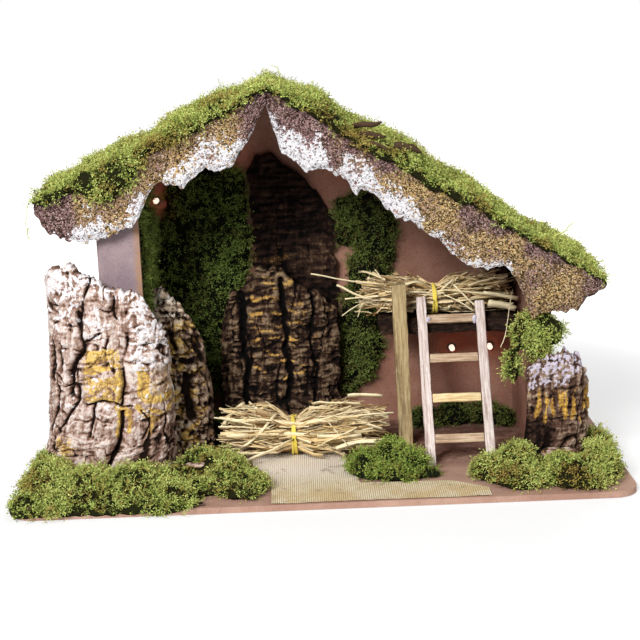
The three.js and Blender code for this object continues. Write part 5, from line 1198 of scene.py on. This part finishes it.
def raffia_tie(name, node, tie, waist, floor, seed):
    """Raffia wound round the waist three and a half times."""
    rng = np.random.default_rng(seed)
    steps = 120
    turn = np.linspace(0, 3.5 * 2 * np.pi, steps) - 0.5 * np.pi
    radius = waist + 1.3 + 0.35 * np.sin(turn * 1.7)
    wound = np.stack([
        tie[0] + np.linspace(-2.4, 2.4, steps) + 0.7 * np.sin(turn * 0.8),
        tie[1] + radius * np.cos(turn), tie[2] + radius * np.sin(turn),
    ], 1)[None]
    points, walls, caps = tubes(wound, np.full((1, steps), 2.0), np.full((1, 1), 0.4),
                                np.array([0.0]), 6)
    paint = np.tile([0.6, 0.2, 0], (len(points), 1))
    points[:, 2] = np.maximum(points[:, 2], floor)
    return made_mesh(name, points, [walls, caps], raffia_finish, (node,), paint)


FLOOR_TIE = (-24, 2, 23.7)
LOFT_TIE = (104, 45, 130.9)
FLOOR_SINGLE = [
    ((-82, -18, 29), (-2, -15, 27), 7.4), ((-4, -18, 27), (34, -20, 27), 6.0),
    ((-79, -17, 43), (14, -14, 38), 5.0), ((-65, -31, 11), (-25, -24, 21), 4.6),
    ((-38, -12, 36), (62, -20, 46), 2.2), ((-91, -24, 49), (-58, -22, 40), 2.4),
    ((-88, -20, 40), (-44, -17, 35), 1.8), ((24, 8, 55), (54, 10, 52), 5.2),
    ((-70, -20, 14), (-8, -19, 14), 2.8), ((-20, -14, 19), (44, -22, 33), 2.0),
    ((0, -22, 22), (30, -26, 36), 1.2), ((6, -20, 40), (22, -24, 20), 1.2),
]
LOFT_SINGLE = [
    ((-4, 31, 160), (60, 33, 147), 2.0), ((18, 32, 149), (47, 32, 134), 2.4),
    ((25, 31, 136), (56, 33, 138), 1.6), ((22, 31, 121), (38, 31, 131), 1.2),
    ((146, 28, 138), (176, 29, 131), 4.6), ((150, 28, 128), (174, 28, 122), 7.0),
    ((133, 30, 144), (163, 31, 151), 2.2), ((60, 30, 141), (112, 30, 139), 2.8),
    ((171, 24, 140), (163, 9, 107), 0.9), ((163, 9, 107), (158, 8, 93), 0.9),
    ((120, 29, 146), (146, 28, 120), 1.6), ((112, 29, 137), (138, 28, 121), 1.4),
    ((52, 31, 161), (58, 31, 152), 1.2), ((86, 30, 131), (120, 30, 150), 2.0),
]
straw_bundle("straw_floor", "floor_straw", FLOOR_TIE, 15.5, (-91, -30, 6.8), (60, 32, 54), 150, 300,
             FLOOR_SINGLE, 11)
raffia_tie("raffia_floor", "floor_straw_tie", FLOOR_TIE, 15.5, 6.6, 1)
straw_bundle("straw_loft", "loft_straw", LOFT_TIE, 12, (34, 31, 117.8), (175, 61, 157), 110, 280,
             LOFT_SINGLE, 12)
raffia_tie("raffia_loft", "loft_straw_tie", LOFT_TIE, 12, 117.4, 2)


# Moss
# Dried and dyed moss, pressed by hand into beds of glue. On the roof and in front of the hut it
# is bright yellow green; inside it is darker, partly a darker moss and partly painted shade.
# It grows in curled sprigs with leaves all round.
def moss_colours(name, root, body, tip, warm):
    moss = Finish(name, 0.9, 0.1)
    leaf = moss.painted()
    patches = moss.between(moss.mottle(0.016, 3, 0.6), 0.35, 0.65)
    # leaf[0] is painted light: where it is low, at the foot of a sprig and on the bed, the root
    # colour gives painted shade.
    green = moss.over(leaf[0], body, tip)
    green = moss.over(moss.times(moss.between(leaf[1], 0.72, 0.95), 0.85), green, warm)
    green = moss.over(moss.times(patches, 0.4), green, body)
    moss.colour(moss.over((leaf[0], 0.4, 0.0), green, root))
    return moss


bright_moss = moss_colours("bright_moss", "#1b1a09", "#7f943c", "#d3da80", "#a07f45")
# shaded_moss is painted shade for the heap at the foot of the post; deep_moss and wall_moss, for
# the moss inside the hut, are partly a darker moss and partly painted shade.
deep_moss = moss_colours("deep_moss", "#0a0c05", "#3d4a1e", "#808f49", "#66522f")
shaded_moss = moss_colours("shaded_moss", "#12160a", "#5f7a2e", "#aebf5e", "#7a6636")
wall_moss = moss_colours("wall_moss", "#0b0f05", "#4d6027", "#9bb05a", "#66582f")


LEAVES = 7


def within(points, area):
    """Which points lie over a rectangle, given by its limits in x and in y."""
    low_x, high_x, low_y, high_y = area
    return ((points[:, 0] > low_x) & (points[:, 0] < high_x)
            & (points[:, 1] > low_y) & (points[:, 1] < high_y))


def moss(name, node, finish, slot, bed, per_area, long, seed, skip, dry=(), short=()):
    """A bed of moss with sprigs set over it, so many to a square millimetre of the bed. It is
    brown and dry round some points, and cropped short over some stretches of x and y."""
    points, faces, paint_bed = bed
    rng = np.random.default_rng(seed)
    triangles = np.concatenate([faces[:, :3], faces[:, [0, 2, 3]]])
    a, b, c = (points[triangles[:, i]] for i in range(3))
    cross = np.cross(b - a, c - a)
    area = np.linalg.norm(cross, axis=1) / 2
    normal = cross / (2 * area[:, None] + 1e-12)
    middle = (a + b + c) / 3
    clumps = drift(middle, 10, seed + 4)
    wanted = area * np.maximum(0.72 + 0.9 * clumps, 0.1) * ~skip(middle, normal)
    sprigs = int(wanted.sum() * per_area)
    pick = rng.choice(len(triangles), sprigs, p=wanted / wanted.sum())
    u, v = rng.uniform(0, 1, (2, sprigs, 1))
    over = u + v > 1
    u, v = np.where(over, 1 - u, u), np.where(over, 1 - v, v)
    root = a[pick] + u * (b - a)[pick] + v * (c - a)[pick]
    out = unit(normal[pick] + rng.normal(0, 0.3, (sprigs, 3)) + np.array([0, 0, 0.2]))
    apart = rng.normal(0, 1, (sprigs, 3))
    apart = unit(apart - out * np.sum(apart * out, 1)[:, None])
    size = rng.uniform(long[0], long[1], sprigs) * (1 + 0.5 * drift(root, 10, seed + 4))
    for stretch in short:
        size = size * np.where(within(root, stretch), 0.35, 1)
    way = out * rng.uniform(0.35, 1.0, (sprigs, 1)) + apart * rng.uniform(0.3, 0.9, (sprigs, 1))
    way = unit(way)
    curl = apart * rng.uniform(0.1, 0.5, (sprigs, 1)) - out * rng.uniform(0.05, 0.4, (sprigs, 1))
    one = unit(np.cross(way, rng.normal(0, 1, (sprigs, 3))))
    two = np.cross(way, one)
    place = ((np.arange(LEAVES) + 0.6) / LEAVES)[None, :, None]
    stem = (root[:, None] + way[:, None] * place * size[:, None, None]
            + curl[:, None] * place ** 2 * size[:, None, None] - out[:, None] * 0.6)
    heading = way[:, None] + 2 * curl[:, None] * place
    turn = 2.4 * np.arange(LEAVES) + rng.uniform(0, 6.3, (sprigs, 1))
    aside = one[:, None] * np.cos(turn)[..., None] + two[:, None] * np.sin(turn)[..., None]
    along = unit(0.6 * heading + aside * (1.05 - 0.5 * place))
    blade = rng.uniform(2.1, 3.6, (sprigs, LEAVES, 1)) * (1.15 - 0.45 * place)
    blade = blade * np.minimum(size / long[0], 1)[:, None, None]
    flank = unit(np.cross(along, heading + rng.normal(0, 0.5, along.shape)))
    flank = flank * rng.uniform(0.36, 0.66, (sprigs, LEAVES, 1))
    belly = stem + along * blade * 0.45
    leaf = np.stack([stem, belly - flank, stem + along * blade, belly + flank], 2)
    leaf[..., 2] = np.maximum(leaf[..., 2], 0.4)
    quads = len(points) + np.arange(sprigs * LEAVES * 4).reshape(-1, 4)
    brown = 0.25 * drift(root, 18, seed + 6)
    for *spot, reach in dry:
        away = np.linalg.norm(root - spot, axis=1)
        brown = np.maximum(brown, 0.9 * smooth(away, reach, 0.3 * reach))
    own = np.clip(rng.uniform(0, 1, sprigs) + brown, 0, 1)[:, None, None]
    fresh = 0.86 + 0.62 * drift(root, 10, seed + 4) - 0.35 * np.maximum(brown - 0.3, 0)
    # Painted shade along each sprig: leaves are darker towards the root and at their foot, lighter
    # at the tip.
    light = (0.22 + 0.78 * place) * fresh[:, None, None]
    light = light * rng.uniform(0.75, 1.2, (sprigs, LEAVES, 1))
    tint = np.stack([
        np.concatenate([light * s, own + 0 * light, 0 * light], 2) for s in (0.6, 0.9, 1.15, 0.9)
    ], 2).reshape(-1, 3)
    return made_mesh(
        name, np.concatenate([points, leaf.reshape(-1, 3)]), [faces, quads], finish,
        (node,), np.concatenate([paint_bed, np.clip(tint, 0, 1)]),
    )


MOSS_FRONT = ROOF_FRONT - 8
# The bed takes almost no light in its paint: painted shade in the gaps between the sprigs.
SHADED_BED_PAINT = (0.02, 0.4, 0.0)
# Each slope's bed from ridge to eave: how thick it lies, and how far it hangs over the strip
LEFT_BED = [1, 4, 9, 9, 9.8, 4, 3, 7.3, 7.3, 3.2, 6.5]
RIGHT_BED = [1, 8.1, 13.1, 10.6, 8.1, 14.8, 15.6, 10.6, 8.1, 12.3, 7.3, 4.8, 4, 9, 6.5]
LEFT_HANG = [2, 2, 6, 7, 7, 4, 23, 28, 9, 5, 3]
RIGHT_HANG = [2, 2, 2, 3, 6, 2, 6, 7, 2, 2, 2, 4, 3, 2, 2]


def ripple(a, b, seed):
    """Gentle unevenness from -1 to 1."""
    return (np.sin(a * 2.3 + seed * 1.7 + 1.3 * np.sin(b * 1.9 + seed))
            + np.sin(b * 3.1 - seed * 2.1 + 1.1 * np.sin(a * 1.3 - seed))) / 2


def roof_bed(side, width, thick, hang, swell, seed):
    """The bed on one slope: over the roof from back to front, and down over the cork strip."""
    columns = int(width / 1.8)
    run = np.linspace(FROM_RIDGE, width, columns)
    x = RIDGE_X + side * run
    top = roof_top(x)
    deep = np.interp(run, np.linspace(0, width, len(thick)), thick)
    fall = np.interp(run, np.linspace(0, width, len(hang)), hang)
    lip = 3.2 + ripple(x / 19, 5, swell)
    rows = []
    for y in np.linspace(ROOF_BACK, MOSS_FRONT, 76):
        share = (ROOF_BACK - y) / (ROOF_BACK - MOSS_FRONT)
        part = np.interp(share, [0, 0.18, 0.88, 1], [0.7, 1, 1, 0.4])
        flat = np.stack([x, np.full(columns, y)], 1)
        bed = part * deep + 2.4 * ripple(x / 14, 5 * share, swell) - 2.4
        bed = bed + 3.0 * drift(flat, 12, seed) + 1.0 * drift(flat, 4.5, seed + 1)
        rows.append(np.stack([x, flat[:, 1], top + np.maximum(bed, 0.7)], 1))
    brow = rows[-1][:, 2]
    for share in np.linspace(0.15, 1, 8):
        flat = np.stack([x, top - share * fall], 1)
        ragged = (3.2 * drift(flat[:, :1] * (1, 1), 7, seed + 3) - 0.8) * share
        z = brow + (top - fall + 1.5 + ragged - brow) * share
        bulge = (lip + 0.8 * drift(flat, 6, seed + 2)) * math.sin(share * math.pi * 0.85)
        rows.append(np.stack([x, MOSS_FRONT - bulge, z], 1))
    rows.append(np.stack([x, np.full(columns, ROOF_FRONT - 7), rows[-1][:, 2]], 1))
    points = np.concatenate(rows)
    grid = np.arange(len(points)).reshape(len(rows), columns)
    faces = skin(grid)
    if side > 0:
        faces = faces[:, ::-1]
    paint = np.tile(SHADED_BED_PAINT, (len(points), 1))
    return points, faces, paint


def roof_skip(middle, normal):
    return normal[:, 2] < -0.5


moss("moss_roof_left", "roof_moss_left", bright_moss, "moss_green",
     roof_bed(-1, 190, LEFT_BED, LEFT_HANG, 1, 5), 0.32, (4.5, 9), 5, roof_skip,
     [(-124, -52, 280, 22), (-104, -53, 284, 16), (-70, -20, 312, 26), (-150, 30, 276, 30)])
moss("moss_roof_right", "roof_moss_right", bright_moss, "moss_green",
     roof_bed(1, 270, RIGHT_BED, RIGHT_HANG, 4, 8), 0.3, (4.5, 9), 8, roof_skip,
     [(10, -53, 300, 18), (40, -50, 288, 22), (66, -50, 274, 16), (136, -52, 228, 16),
      (186, -52, 196, 14), (90, 30, 256, 34), (180, 50, 200, 30)])


def heap_bed(node, facet, seed, sink=1.8):
    points, quads, normals = even_copy(node, facet)
    lumps = 2.3 * drift(points, 11, seed) + 1.2 * drift(points, 4.5, seed + 1) - sink
    points = points + normals * lumps[:, None]
    points[:, 2] = np.maximum(points[:, 2], STANDS_AT)
    return points, quads, np.tile(SHADED_BED_PAINT, (len(points), 1))


# How high over the ground the fringe leaves its heap
CURTAIN_TOP = 8.4


def with_curtain(bed, edge, seed):
    """The bed, and a fringe of it that hangs down over the edge of the base board."""
    points, faces, paint = bed
    corner = np.array(edge, float)
    length = walked(corner)
    along = np.arange(0, length[-1], 2.0)
    place = np.stack([np.interp(along, length, corner[:, i]) for i in (0, 1)], 1)
    slope = unit(np.gradient(place, axis=0))
    away = np.stack([slope[:, 1], -slope[:, 0]], 1)
    full = smooth(np.minimum(along, along[-1] - along), 0, 22)
    low = CURTAIN_TOP - full * (6 - 2.2 * drift(np.stack([along, 0 * along], 1), 7, seed))
    rows = []
    for out, share in ((-5, 0), (0.2, 0.1), (1.8, 0.5), (1.6, 0.8), (0.4, 1)):
        z = CURTAIN_TOP + (low - CURTAIN_TOP) * share
        aside = away * (np.minimum(out, 0) + max(out, 0) * full)[:, None]
        rows.append(np.concatenate([place + aside, z[:, None]], 1))
    grid = len(points) + np.arange(5 * len(along)).reshape(5, -1)
    fringe = np.stack([grid[:-1, :-1], grid[1:, :-1], grid[1:, 1:], grid[:-1, 1:]], 2)
    more = np.concatenate(rows)
    return (np.concatenate([points, more]), np.concatenate([faces, fringe.reshape(-1, 4)]),
            np.concatenate([paint, np.tile(SHADED_BED_PAINT, (len(more), 1))]))


# Free space for the two chips of bark, as limits in x and in y
CHIP_ROOMS = [(-124, -90, -76, -58), (174, 218, -75, -55)]


def under_heap(middle, normal):
    beside_chip = np.zeros(len(middle), bool)
    for space in CHIP_ROOMS:
        beside_chip |= within(middle, space)
    return (normal[:, 2] < -0.4) | (middle[:, 2] < 5.6) & (middle[:, 1] > -123) | beside_chip


def against_wall(middle, normal):
    return (normal[:, 1] > 0.5) | (normal[:, 0] < -0.95) & (middle[:, 0] < -146)


LEFT_FRINGE = [(-96, -125), (-150, -125), (-236, -125), (-245, -121.5), (-249, -113), (-250, -60),
               (-250, -30)]
IN_FRONT_OF_CHIPS = [(-128, -86, -98, -56), (170, 222, -92, -53)]
moss("moss_ground_left", "ground_moss_left", bright_moss, "moss_green",
     with_curtain(heap_bed("ground_moss_left", 2.4, 31), LEFT_FRINGE[::-1], 34), 0.32, (4.5, 8.5),
     31, under_heap, [(-238, -90, 16, 16), (-104, -70, 20, 26)], IN_FRONT_OF_CHIPS)
moss("moss_ground_centre", "ground_moss_centre", shaded_moss, "moss_green",
     heap_bed("ground_moss_centre", 2.2, 32), 0.32, (4.5, 8.5), 32, under_heap,
     [(46, -40, 10, 20)])
moss("moss_ground_right", "ground_moss_right", bright_moss, "moss_green",
     heap_bed("ground_moss_right", 2.4, 33), 0.3, (4.5, 8.5), 33, under_heap,
     [(196, -62, 20, 26), (200, -112, 8, 24), (150, -100, 8, 18)], IN_FRONT_OF_CHIPS)
for label, seed in (("back", 41), ("inner", 42)):
    moss(f"moss_ground_{label}", f"ground_moss_{label}", deep_moss, "deep_moss",
         heap_bed(f"ground_moss_{label}", 2.5, seed), 0.26, (4, 8), seed, under_heap)
moss("moss_wall_left", "wall_moss_left", wall_moss, "deep_moss",
     heap_bed("wall_moss_left", 2.5, 51, 0.6), 0.2, (4.5, 9), 51, against_wall)
moss("moss_wall_right", "wall_moss_right", deep_moss, "deep_moss",
     heap_bed("wall_moss_right", 2.5, 52, 0.6), 0.24, (4.5, 9.5), 52, against_wall)
moss("moss_cap", "bark_cap_moss", bright_moss, "moss_green", heap_bed("bark_cap_moss", 2.0, 61),
     0.34, (4.5, 8.5), 61, under_heap)


# Stray bits
# Single twigs, curled moss stems and bark splinters that stick out of the moss. Each is a line of
# points in x and z at one depth, with its width in the middle.
def stray_bits(name, finish, bits, seed, rough=0.2):
    rng = np.random.default_rng(seed)
    steps = 9
    paths = []
    across = []
    for depth, wide, line in bits:
        line = np.array(line, float)
        length = walked(line)
        along = np.linspace(0, length[-1], steps)
        x, z = (np.interp(along, length, line[:, axis]) for axis in (0, 1))
        paths.append(np.stack([x, depth + rng.normal(0, 0.4, steps), z], 1))
        across.append(wide * np.array([0.8, 1.0, 1.1, 1.0, 0.9, 0.95, 0.8, 0.55, 0.2]))
    points, walls, caps = tubes(np.array(paths), np.array(across), np.full((len(bits), 1), 0.5),
                                rng.uniform(0.9, 1.5, len(bits)), 6)
    points = points + rough * np.stack([drift(points, 2.5, seed + i) for i in range(3)], 1)
    paint = np.repeat(np.stack([rng.uniform(0.4, 0.9, len(bits)), rng.uniform(0, 0.5, len(bits)),
                                np.zeros(len(bits))], 1), steps * 6, axis=0)
    made_mesh(name, points, [walls, caps], finish, (), paint)


splinters = moss_colours("bark_splinters", "#0f0906", "#33241a", "#5f4a38", "#4b3524")
stray_bits("moss_stems", bright_moss, [
    (-48, 1.3, [(190, 196), (197, 199), (203, 201), (206, 205), (210, 209), (215, 209)]),
    (-48, 1.0, [(200, 200), (205, 202), (209, 203), (212, 206)]),
    (-50, 0.9, [(-24, 322), (-22, 333), (-24, 341), (-30, 343)]),
    (-50, 0.8, [(-78, 305), (-82, 316), (-85, 322), (-89, 322)]),
    (-50, 0.9, [(-160, 270), (-164, 281), (-160, 286), (-152, 284)]),
    (-50, 0.9, [(-200, 250), (-206, 262), (-203, 265), (-198, 262)]),
    (-53, 0.7, [(-226, 246), (-229, 236), (-231, 225), (-230, 218)]),
    (-50, 1.6, [(-230, 221), (-231, 216), (-229, 211)]),
], 3)
stray_bits("roof_splinters", splinters, [
    (-46, 5.0, [(34, 293), (42, 293.5), (50, 293), (58, 294.5)]),
    (-49, 5.5, [(38, 286), (46, 286), (54, 284), (60, 283)]),
    (-45, 6.0, [(66, 276), (74, 275), (82, 273), (88, 269)]),
    (-51, 4.0, [(48, 279), (56, 276), (64, 271)]),
    (-52, 4.0, [(-132, 277), (-124, 280), (-114, 284)]),
    (-53, 3.6, [(30, 280), (40, 275), (50, 270)]),
], 4, 1.1)
